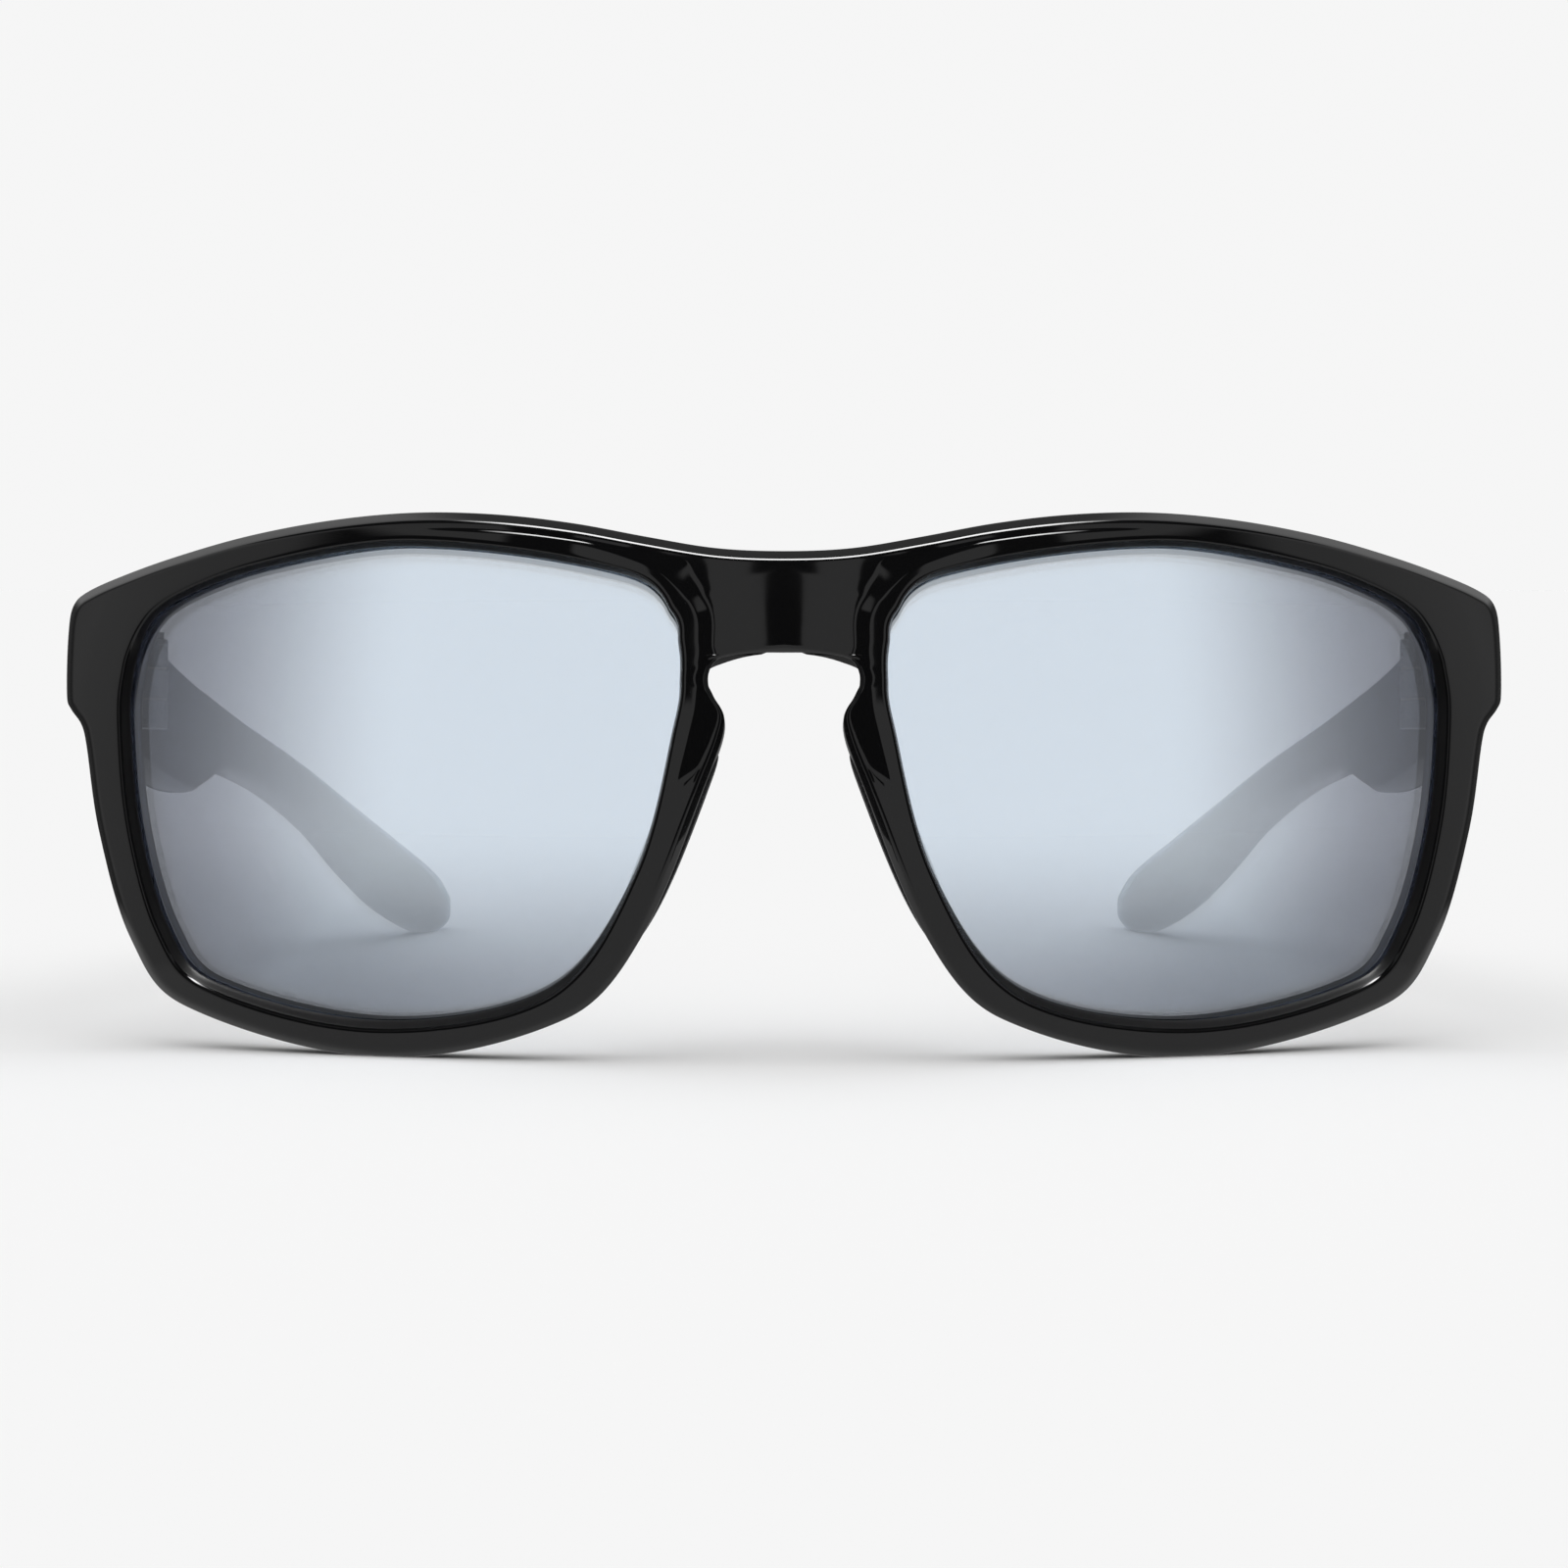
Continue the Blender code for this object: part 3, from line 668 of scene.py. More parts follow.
def handled_surface_group() -> bpy.types.NodeTree:
    """A node group for the traces of use on a moulded or polished surface.

    Returns:
        The group, with inputs Scale, Haze and Ripple, and outputs Roughness Lift and Height.
    """
    found = bpy.data.node_groups.get("handled_surface")
    if found:
        return found
    group = bpy.data.node_groups.new("handled_surface", "ShaderNodeTree")
    for name, default in (("Scale", 1.0), ("Haze", 0.02), ("Ripple", 0.1)):
        socket = group.interface.new_socket(name, in_out="INPUT", socket_type="NodeSocketFloat")
        socket.default_value = default
    for name in ("Roughness Lift", "Height"):
        group.interface.new_socket(name, in_out="OUTPUT", socket_type="NodeSocketFloat")
    nodes = Nodes(group)
    inputs = group.nodes.new("NodeGroupInput")
    outputs = group.nodes.new("NodeGroupOutput")
    place = nodes.add("ShaderNodeTexCoord").outputs["Object"]
    smudges_per_metre = nodes.maths("MULTIPLY", inputs.outputs["Scale"], 90.0)
    grains_per_metre = nodes.maths("MULTIPLY", inputs.outputs["Scale"], 900.0)
    smudge = nodes.add(
        "ShaderNodeTexNoise", Vector=place, Detail=3.0, Roughness=0.6, Scale=smudges_per_metre
    )
    fine = nodes.add(
        "ShaderNodeTexNoise", Vector=place, Detail=2.0, Roughness=0.5, Scale=grains_per_metre
    )
    patchy = nodes.ramp(smudge.outputs[0], 0.35, 0.75, 0.0, 1.0)
    grainy = nodes.maths("MULTIPLY_ADD", fine.outputs[0], 0.5, 0.5)
    lift = nodes.maths("MULTIPLY", nodes.maths("MULTIPLY", patchy, grainy), inputs.outputs["Haze"])
    height = nodes.maths("MULTIPLY", smudge.outputs[0], inputs.outputs["Ripple"])
    nodes.feed(outputs, "Roughness Lift", lift)
    nodes.feed(outputs, "Height", height)
    return group


def add_handling(nodes: Nodes, scale: float, haze: float, ripple: float) -> bpy.types.Node:
    """Places the handled-surface group in a material.

    Args:
        nodes: The writer of the material's tree.
        scale: How fine the traces are.
        haze: How much they roughen the surface.
        ripple: How high they stand.

    Returns:
        The group's node.
    """
    node = nodes.tree.nodes.new("ShaderNodeGroup")
    node.node_tree = handled_surface_group()
    node.inputs["Scale"].default_value = scale
    node.inputs["Haze"].default_value = haze
    node.inputs["Ripple"].default_value = ripple
    return node


@dataclass(frozen=True)
class GlossNylon:
    """Injection-moulded gloss-black nylon: a deep black body with a polished skin and faint flow ripple."""

    name: str = "gloss_nylon"
    colour: tuple[float, float, float, float] = (0.0035, 0.0035, 0.0038, 1.0)
    roughness: float = 0.035
    specular: float = 0.36

    def build(self) -> bpy.types.Material:
        """Builds the finish.

        Returns:
            The material.
        """
        material, nodes, shader = new_material(self.name)
        handling = add_handling(nodes, scale=1.0, haze=0.03, ripple=0.3)
        shader.inputs["Base Color"].default_value = self.colour
        shader.inputs["Specular IOR Level"].default_value = self.specular
        roughness = nodes.maths("ADD", handling.outputs["Roughness Lift"], self.roughness)
        nodes.feed(shader, "Roughness", roughness)
        bump = nodes.add("ShaderNodeBump", Strength=0.04, Distance=0.0002, Height=handling.outputs["Height"])
        nodes.feed(shader, "Normal", bump.outputs[0])
        return material


@dataclass(frozen=True)
class MirrorLensWithPaintedShade:
    """Grey mirror lens with painted shade in its base colour: darker towards its outer and lower edge, where
    the reflection falls off.

    Attributes:
        name: The material's name.
        light: Colour where there is no painted shade.
        painted_shade: Colour of the darkest painted shade.
        outward: Distances from the mirror plane, in metres, between which the painted shade darkens.
        downward: Heights above the floor, in metres, between which the painted shade darkens.
        downward_shade_share: How far the painted shade darkens downwards, as a share.
        metallic: How much of a mirror it is.
        roughness: Its roughness.
    """

    name: str = "mirror_lens_painted_shade"
    light: tuple[float, float, float, float] = (0.86, 0.93, 1.0, 1.0)
    painted_shade: tuple[float, float, float, float] = (0.56, 0.59, 0.66, 1.0)
    outward: tuple[float, float] = (0.036, 0.062)
    downward: tuple[float, float] = (0.022, 0.002)
    downward_shade_share: float = 0.62
    metallic: float = 0.52
    roughness: float = 0.0

    def build(self) -> bpy.types.Material:
        """Builds the finish.

        Returns:
            The material.
        """
        material, nodes, shader = new_material(self.name)
        place = nodes.add("ShaderNodeTexCoord").outputs["Object"]
        axes = nodes.add("ShaderNodeSeparateXYZ", Vector=place)
        # Painted shade: the base colour darkens outwards and downwards in place of the reflection's falloff.
        outward = nodes.ramp(nodes.maths("ABSOLUTE", axes.outputs["X"]), *self.outward, 0.0, 1.0)
        downward = nodes.ramp(axes.outputs["Z"], *self.downward, 0.0, self.downward_shade_share)
        painted_shade = nodes.maths("MAXIMUM", outward, downward)
        nodes.feed(shader, "Base Color", nodes.blend(painted_shade, self.light, self.painted_shade))
        shader.inputs["Metallic"].default_value = self.metallic
        shader.inputs["Transmission Weight"].default_value = 1.0
        shader.inputs["Roughness"].default_value = self.roughness
        shader.inputs["IOR"].default_value = 1.5
        return material


@dataclass(frozen=True)
class SoftPad:
    """Soft rubber with a fine matt texture."""

    name: str = "pad_rubber"
    colour: tuple[float, float, float, float] = (0.014, 0.014, 0.015, 1.0)

    def build(self) -> bpy.types.Material:
        """Builds the finish.

        Returns:
            The material.
        """
        material, nodes, shader = new_material(self.name)
        place = nodes.add("ShaderNodeTexCoord").outputs["Object"]
        grain = nodes.add("ShaderNodeTexNoise", Vector=place, Scale=4200.0, Detail=2.0)
        shader.inputs["Base Color"].default_value = self.colour
        nodes.feed(shader, "Roughness", nodes.ramp(grain.outputs[0], 0.3, 0.7, 0.42, 0.58))
        bump = nodes.add("ShaderNodeBump", Strength=0.25, Distance=0.00004, Height=grain.outputs[0])
        nodes.feed(shader, "Normal", bump.outputs[0])
        return material


@dataclass(frozen=True)
class SatinSteel:
    """Satin nickel-plated steel, brushed along its length."""

    name: str = "satin_steel"
    colour: tuple[float, float, float, float] = (0.55, 0.55, 0.56, 1.0)

    def build(self) -> bpy.types.Material:
        """Builds the finish.

        Returns:
            The material.
        """
        material, nodes, shader = new_material(self.name)
        place = nodes.add("ShaderNodeTexCoord").outputs["Object"]
        stretch = nodes.add("ShaderNodeMapping", Vector=place, Scale=(9000.0, 600.0, 9000.0))
        brush = nodes.add("ShaderNodeTexNoise", Vector=stretch.outputs[0], Scale=1.0, Detail=3.0)
        handling = add_handling(nodes, scale=3.0, haze=0.15, ripple=0.2)
        base = nodes.ramp(brush.outputs[0], 0.3, 0.7, 0.22, 0.36)
        shade = nodes.ramp(brush.outputs[0], 0.2, 0.8, 0.0, 1.0)
        darker = tuple(0.82 * c for c in self.colour[:3]) + (1.0,)
        nodes.feed(shader, "Base Color", nodes.blend(shade, darker, self.colour))
        nodes.feed(shader, "Roughness", nodes.maths("ADD", base, handling.outputs["Roughness Lift"]))
        shader.inputs["Metallic"].default_value = 1.0
        bump = nodes.add("ShaderNodeBump", Strength=0.12, Distance=0.00002, Height=brush.outputs[0])
        nodes.feed(shader, "Normal", bump.outputs[0])
        return material


@dataclass(frozen=True)
class NaturalNylon:
    """Milky natural nylon of the washers."""

    name: str = "natural_nylon"
    colour: tuple[float, float, float, float] = (0.68, 0.66, 0.6, 1.0)
    roughness: float = 0.4

    def build(self) -> bpy.types.Material:
        """Builds the finish.

        Returns:
            The material.
        """
        material, nodes, shader = new_material(self.name)
        handling = add_handling(nodes, scale=4.0, haze=0.2, ripple=0.2)
        shader.inputs["Base Color"].default_value = self.colour
        roughness = nodes.maths("ADD", handling.outputs["Roughness Lift"], self.roughness)
        nodes.feed(shader, "Roughness", roughness)
        return material


@dataclass
class Finishes:
    """Every material of the object, built once."""

    nylon: bpy.types.Material = field(default_factory=lambda: GlossNylon().build())
    satin_nylon: bpy.types.Material = field(
        default_factory=lambda: GlossNylon(name="satin_nylon", roughness=0.3, specular=0.2).build()
    )
    lens: bpy.types.Material = field(default_factory=lambda: MirrorLensWithPaintedShade().build())
    pad: bpy.types.Material = field(default_factory=lambda: SoftPad().build())
    steel: bpy.types.Material = field(default_factory=lambda: SatinSteel().build())
    washer: bpy.types.Material = field(default_factory=lambda: NaturalNylon().build())

    @staticmethod
    def dress(obj: bpy.types.Object, material: bpy.types.Material) -> None:
        """Gives obj one material."""
        obj.data.materials.clear()
        obj.data.materials.append(material)


# ---------------------------------------------------------------------------------------------------------
# The front
# ---------------------------------------------------------------------------------------------------------


@dataclass
class FrontMoulding:
    """The one-piece front: both rims with their lens grooves, the bridge and the end pieces.

    Its section is a closed loop that goes from the groove, over the front face and the outer edge, and
    back over the rear face. Sizes are in millimetres. Tables give sizes by station round the opening.
    A flat band follows the opening. Beside it the face slopes down to a sunk plane, which is arched across
    the bridge (the crown) and ends at the bevel of the outer edge.

    Attributes:
        stations: Sections round each opening.
        lens_recess: Depth of the lens behind the face.
        lens_thick: Thickness of the lens.
        lens_gap: Clearance of the groove in front of and behind the lens.
        rim_back: Depth of the rim's rear face beside the opening.
        butt_y: The plane at which the end pieces stop.
        end_inner_x: Distance of an end piece's inner wall from the mirror plane.
        lip_round: Width of the round between the opening's wall and the face.
        satin_points: Last point of the section on the satin step, counted from the groove.
        seam_merge: Distance from the mirror plane within which points are put on it.
        edge_width: Width of the bevel along the outer edge.
        edge_tilt: Angle of the bevel below the face, in degrees.
        face_round: Radius between the face and the bevel.
        wall_round: Radius between the bevel and the outer wall.
        underside_lift: Rise of the bridge's underside for each millimetre of depth.
        back_depth: Depth of the rear face along the outer edge.
        end_piece: Share by which the rear is drawn out to the butt plane.
        butt_outline: Outline of an end piece on the butt plane.
        butt_middle: Middle of that outline.
        inner_wall_low: Lowest height of an end piece's inner wall on the butt plane.
        inner_wall_high: Highest height of it there.
        band_width: Width from the opening to the outer side of the flat band.
        slope_width: Width of the slope beside the band.
        slope_drop: Depth of the sunk plane below the band.
        slope_room: Least width left beyond the slope.
        slope_limit: Steepest slope, as drop over width.
        crown_radius: Radius of the crown, by height.
        crown_reach: Half the width of the crown.
        crown_low: Height from which the crown rises.
        bridge_drop: Drop from which the crown has its full height.
        band_tilt: Fall of the band for each millimetre of its width.
    """

    stations: int = 264
    lens_recess: float = LENS_RECESS
    lens_thick: float = LENS_THICK
    lens_gap: float = 0.15
    rim_back: float = 4.6
    butt_y: float = 31.0
    end_inner_x: float = 66.4
    lip_round: float = 0.34
    satin_points: int = 5
    seam_merge: float = 0.002
    edge_width: Knots = (
        (0, 1.1), (10, 1.1), (12, 0.8), (18, 0.9), (30, 1.0), (33, 1.1), (35.5, 0.8), (37, 0.35),
        (40.5, 0.35), (44, 0.8),
    )
    edge_tilt: Knots = ((0, 54.0), (9, 54.0), (12, 42.0), (18, 46.0), (30, 48.0), (34, 56.0), (44, 54.0))
    face_round: Knots = ((0, 0.5), (9, 0.5), (12, 0.7), (30, 0.8), (36, 0.4), (44, 0.42))
    wall_round: float = 0.3
    underside_lift: Knots = ((37.5, 0.0), (39.5, 0.12), (40.5, 0.2), (43, 0.2), (44, 0.1))
    back_depth: Knots = ((0, 5.6), (5, 4.9), (8, 4.9), (18, 4.9), (30, 4.9), (33, 6.2), (39, 6.2), (44, 5.6))
    end_piece: Knots = ((8.6, 0.0), (10.3, 1.0), (16.8, 1.0), (18.4, 0.0))
    butt_outline: SmoothCurve = SmoothCurve(
        (
            (8, 62.0, 47.0), (10, 69.3, 45.9), (11, 71.2, 45.6), (12, 72.1, 44.6), (13, 72.3, 42.5),
            (15, 72.0, 36.2), (16, 71.0, 34.4), (17, 70.4, 32.8), (18, 69.2, 32.0), (19, 67.5, 31.6),
        )
    )
    butt_middle: tuple[float, float] = (69.4, 38.0)
    inner_wall_low: float = 30.9
    inner_wall_high: float = 45.2
    band_width: Knots = (
        (0, 2.1), (1, 1.7), (2, 1.8), (3, 2.15), (4, 2.4), (33, 1.75), (37, 1.65), (40, 1.75), (43, 1.9),
        (48, 2.1),
    )
    slope_width: Knots = (
        (0, 1.6), (1, 2.2), (2, 4.0), (34, 2.0), (36.5, 3.0), (40, 3.0), (41.5, 1.6), (43, 1.4), (48, 1.6),
    )
    slope_drop: Knots = (
        (0, 0.36), (2, 0.26), (3.5, 0.16), (5, 0.0), (33.8, 0.0), (34.3, 0.36), (36, 0.44), (40, 0.40),
        (48, 0.36),
    )
    slope_room: Knots = ((0, 0.3), (35, 0.3), (37, 0.06), (41, 0.06), (42, 0.3))
    slope_limit: Knots = ((0, 0.24), (1.2, 0.17), (6, 0.17), (8, 0.3), (44, 0.3), (48, 0.24))
    crown_radius: Knots = ((38, 120.0), (48, 165.0))
    crown_reach: float = 7.0
    crown_low: float = 36.0
    bridge_drop: float = 0.36
    band_tilt: float = 0.03

    def edge_point(self, station: float, inset: float) -> Vector:
        """A point inside the outer edge, or on the mirror plane along the seam.

        Args:
            station: Station round the opening.
            inset: Distance in from the edge, in edge widths.

        Returns:
            The point's x and z.
        """
        if station <= UNDER_END:
            return outline_at(station, inset * level(self.edge_width, station))
        share = (station - UNDER_END) / (LAP - UNDER_END)
        low = outline_at(UNDER_END, inset * level(self.edge_width, UNDER_END)).y
        high = outline_at(0.0, inset * level(self.edge_width, 0.0)).y
        return Vector((0.0, low + (high - low) * share))

    def edge_profile(self, station: float) -> list[tuple[float, float]]:
        """The bevel from the face to the outer wall, with a small round at each end.

        Args:
            station: Station round the opening.

        Returns:
            (inset, depth) points, the inset in edge widths from the outer edge.
        """
        near = min(station, UNDER_END) if station <= 0.5 * (UNDER_END + LAP) else 0.0
        width = level(self.edge_width, near)
        tilt = math.radians(level(self.edge_tilt, near))
        wall = min(self.wall_round, 0.3 * width)
        face = min(level(self.face_round, near), 0.6 * width / math.sin(tilt))
        flat = (width - face * math.sin(tilt) - wall * (1.0 - math.sin(tilt))) / math.cos(tilt)
        points = []
        for share in (0.0, 0.34, 0.67, 1.0):
            turn = share * tilt
            points.append((width - face * math.sin(turn), face * (1.0 - math.cos(turn))))
        reach, depth = points[-1]
        for share in (0.5, 1.0):
            points.append((reach - share * flat * math.cos(tilt), depth + share * flat * math.sin(tilt)))
        reach, depth = points[-1]
        for share in (0.4, 1.0):
            turn = tilt + share * (0.5 * math.pi - tilt)
            across, down = math.sin(turn) - math.sin(tilt), math.cos(tilt) - math.cos(turn)
            points.append((reach - wall * across, depth + wall * down))
        return [(max(0.0, inset) / width, deep) for inset, deep in points]

    def rear_depth(self, station: float) -> float:
        """Depth of the rear face."""
        return level(self.back_depth, station) if station <= UNDER_END else self.back_depth[0][1]

    def end_share(self, station: float) -> float:
        """Share by which the rear is drawn out to the butt plane."""
        return ease(level(self.end_piece, station)) if station <= UNDER_END else 0.0

    def drawn_out(self, station: float, place: Vector, inset: float = 0.0) -> Vector:
        """A rear point moved towards the butt plane where the end piece is.

        Args:
            station: Station round the opening.
            place: The point on the plain rim.
            inset: How far inside the butt's own outline it ends.

        Returns:
            The moved point.
        """
        share = self.end_share(station)
        if share == 0.0:
            return place
        x, z = self.butt_outline.at(station)
        middle = Vector(self.butt_middle)
        away = Vector((x, z)) - middle
        spot = middle + away * (1.0 - inset / away.length)
        return place.lerp(Vector((spot.x, self.butt_y, spot.y)), share)

    def inner_wall(self, station: float, place: Vector, depth_share: float) -> Vector:
        """A rear point moved to the end piece's inner wall.

        Args:
            station: Station round the opening.
            place: The point on the plain rim.
            depth_share: 0 at the foot of the wall, 1 at the butt plane.

        Returns:
            The moved point.
        """
        share = self.end_share(station)
        if share == 0.0:
            return place
        _, z = self.butt_outline.at(station)
        top = min(self.inner_wall_high, max(self.inner_wall_low, z))
        foot = Vector((self.end_inner_x, place.y, place.z))
        head = Vector((self.end_inner_x, self.butt_y, top))
        return place.lerp(foot.lerp(head, depth_share), share)

    def face_rings(self, station: float) -> list[Vector]:
        """The front face: the flat band along the opening, the slope beside it, and the plane beyond.

        Args:
            station: Station round the opening.

        Returns:
            Its points, from the opening outwards.
        """
        lip = level(LIP_OUT, station)
        inner, edge = opening_at(station, lip + self.lip_round), self.edge_point(station, 1.0)
        width = (edge - inner).length
        band = min(level(self.band_width, station) - lip - self.lip_round, width - 0.9)
        slope = min(level(self.slope_width, station), width - band - level(self.slope_room, station))
        drop = min(level(self.slope_drop, station), level(self.slope_limit, station) * slope)
        foot, rest = band + slope, width - band - slope
        seam = ease((station - UNDER_END + 0.5) / 0.8) * ease((LAP + 0.5 - station) / 0.8)
        tilt = self.band_tilt * band * min(1.0, drop / 0.3)
        # Each ring's distance from the lip, how far the band's tilt lowers it, and its share of the drop.
        rings = (
            (0.3 * band, 0.3 * tilt, 0.0), (0.7 * band, 0.7 * tilt, 0.0), (band - 0.08, 0.94 * tilt, 0.003),
            (band + 0.03, tilt, 0.02), (band + 0.13, tilt, 0.07), (band + 0.5 * slope, tilt, 0.5),
            (foot - 0.22, tilt, 0.9), (foot, tilt, 0.985), (foot + 0.16 * rest, tilt, 1.0),
            (foot + 0.36 * rest, tilt, 1.0), (foot + 0.58 * rest, tilt, 1.0), (foot + 0.78 * rest, tilt, 1.0),
            (width - 0.12 * seam * rest - 0.06, tilt, 1.0),
        )
        places = []
        for reach, lowered, share in rings:
            spot = inner.lerp(edge, reach / width)
            arch = min(0.0, spot.x**2 - self.crown_reach**2) * ease((spot.y - self.crown_low) / 3.0)
            arch *= min(1.0, drop / self.bridge_drop)
            crown = share * arch / (2.0 * level(self.crown_radius, spot.y))
            places.append(FACE.point(spot.x, spot.y, max(0.0, drop * share + lowered + crown)))
        return places

    def section(self, station: float) -> list[Vector]:
        """The closed section at a station, from the groove's front wall round to its rear wall.

        Args:
            station: Station round the opening.

        Returns:
            The section's points in the front's frame.
        """
        face = self.face_rings(station)
        sunk = max(0.0, face[-1].y - FACE.point(face[-1].x, face[-1].z).y)
        bevel = self.edge_profile(station)
        wall_start = bevel[-1][1] + sunk
        # Under the bridge the outer wall keeps its own lean over its full depth.
        follow = wall_start + 8.0 * ease((station - 38.0) / 3.0)
        lift = level(self.underside_lift, station) * ease((LAP - 1.0 - station) / 2.0)
        rear = self.rear_depth(station)
        front_lip = self.lens_recess - self.lens_gap
        rear_lip = self.lens_recess + self.lens_thick + self.lens_gap

        def bore(grow: float, depth: float) -> Vector:
            """A point of the opening's wall, by its distance out and its depth."""
            spot = opening_at(station, grow)
            return FACE.point(spot.x, spot.y, depth)

        def rim(inset: float, depth: float) -> Vector:
            """A point of the outer wall.

            Args:
                inset: Distance in from the outer edge, in edge widths.
                depth: Distance below the face.

            Returns:
                The point in the front's frame.
            """
            spot = self.edge_point(station, inset)
            place = FACE.point(spot.x, spot.y, depth, follow)
            place.z += lift * max(0.0, depth - wall_start - sunk)
            return place

        lip, seat, back = (level(table, station) for table in (LIP_OUT, SEAT_OUT, BACK_OUT))
        hold = lens_bite(station) + 0.2
        points = [
            bore(hold, front_lip + 0.02), bore(0.5 * (seat + hold), front_lip), bore(seat + 0.06, front_lip),
            bore(seat, front_lip - 0.07), bore(0.5 * (seat + lip), 0.65), bore(lip, 0.28),
            bore(lip + 0.05, 0.12), bore(lip + 0.16, 0.03), bore(lip + self.lip_round - 0.02, 0.0),
        ]
        points += face
        points += [rim(inset, sunk + depth) for inset, depth in bevel]
        wall_end = rear - 0.8
        points += [
            self.drawn_out(station, rim(0.0, 0.6 * wall_start + 0.4 * wall_end)),
            self.drawn_out(station, rim(0.0, wall_end)),
            self.drawn_out(station, rim(0.12, wall_end + 0.3), 0.06),
            self.drawn_out(station, rim(0.34, rear - 0.14), 0.3),
            self.drawn_out(station, rim(0.55, rear), 0.6),
        ]
        inner, edge = opening_at(station, back + 0.8), self.edge_point(station, 1.0)
        for share, depth_share in ((0.8, 0.96), (0.5, 0.5), (0.18, 0.0)):
            spot = inner.lerp(edge, share)
            depth = self.rim_back + (rear - self.rim_back) * ease(share * 1.2)
            points.append(self.inner_wall(station, FACE.point(spot.x, spot.y, depth), depth_share))
        points += [
            bore(back + 0.8, self.rim_back), bore(back + 0.4, self.rim_back - 0.02),
            bore(back + 0.12, self.rim_back - 0.2), bore(back, self.rim_back - 0.5),
            bore(back, rear_lip + 0.06), bore(back + 0.06, rear_lip), bore(0.5 * (back + hold), rear_lip),
            bore(hold, rear_lip - 0.02),
        ]
        return points

    def build(self, finishes: Finishes) -> bpy.types.Object:
        """Builds the front, with the faces of the step down to the lens in the satin finish.

        Args:
            finishes: The materials.

        Returns:
            The finished front.
        """
        sections = [self.section(LAP * i / self.stations) for i in range(self.stations)]
        across = len(sections[0])
        obj = ring_piece("front_moulding", self.stations, across, lambda i, j: sections[i][j])
        for vertex in obj.data.vertices:
            if vertex.co.x < self.seam_merge:
                vertex.co.x = 0.0
        for finish in (finishes.nylon, finishes.satin_nylon):
            obj.data.materials.append(finish)
        for face in obj.data.polygons:
            face.material_index = int(max(v % across for v in face.vertices) <= self.satin_points)
        seam = select_faces(obj, lambda face: all(obj.data.vertices[v].co.x == 0.0 for v in face.vertices))
        LOG.info("front seam: %d faces removed", seam)
        edit(obj, lambda: bpy.ops.mesh.delete(type="FACE"))
        apply_modifier(obj, "MIRROR", use_clip=True, merge_threshold=self.seam_merge)
        face_out(obj, 0.5 * self.seam_merge)
        for vertex in obj.data.vertices:
            vertex.co = STANCE.world(vertex.co)
        apply_modifier(obj, "SUBSURF", levels=1, render_levels=1)
        # What would reach under the floor is pressed flat on it.
        for vertex in obj.data.vertices:
            vertex.co.z = max(vertex.co.z, 0.0)
        smooth(obj, 60.0)
        return settle(obj, Body.FRONT, Slot.FRAME, "front_frame")


# ---------------------------------------------------------------------------------------------------------
# Lenses and nose pads
# ---------------------------------------------------------------------------------------------------------


@dataclass
class Lens:
    """A lens cut from a curved shell, seated in the rim's groove. Sizes in millimetres.

    Attributes:
        side: The side that it is on.
        recess: Depth of its front behind the face.
        thick: Its thickness.
        rim_points: Points round its edge.
        first_turn: Share of a turn at which station 0 lies on the starting circle.
    """

    side: Side
    recess: float = LENS_RECESS
    thick: float = LENS_THICK
    rim_points: int = 160
    first_turn: float = 0.125

    def build(self, finishes: Finishes) -> bpy.types.Object:
        """Builds the lens.

        Args:
            finishes: The materials.

        Returns:
            The finished lens.
        """
        deselect()
        bpy.ops.mesh.primitive_circle_add(vertices=self.rim_points, radius=1.0, fill_type="NOTHING")
        obj = named(f"curved_lens_{self.side.word}")
        for vertex in obj.data.vertices:
            turn = math.atan2(vertex.co.y, vertex.co.x) / math.tau
            station = LAP * ((1.0 + self.first_turn - turn) % 1.0)
            spot = opening_at(station, lens_bite(station))
            vertex.co = Vector((spot.x, 0.0, spot.y))
        edit_all(obj, lambda: bpy.ops.mesh.fill_grid(span=self.rim_points // 4, offset=0))
        for vertex in obj.data.vertices:
            vertex.co = FACE.point(vertex.co.x, vertex.co.z, self.recess)
        edit_all(obj, lambda: bpy.ops.mesh.normals_make_consistent(inside=False))
        if obj.data.polygons[0].normal.y > 0.0:
            edit_all(obj, bpy.ops.mesh.flip_normals)
        apply_modifier(obj, "SOLIDIFY", thickness=self.thick, offset=-1.0, use_even_offset=True)
        for vertex in obj.data.vertices:
            vertex.co = STANCE.world(vertex.co, self.side)
        face_out(obj)
        smooth(obj, 40.0)
        finishes.dress(obj, finishes.lens)
        return settle(obj, Body.FRONT, Slot.LENS, f"lens_{self.side.word}")


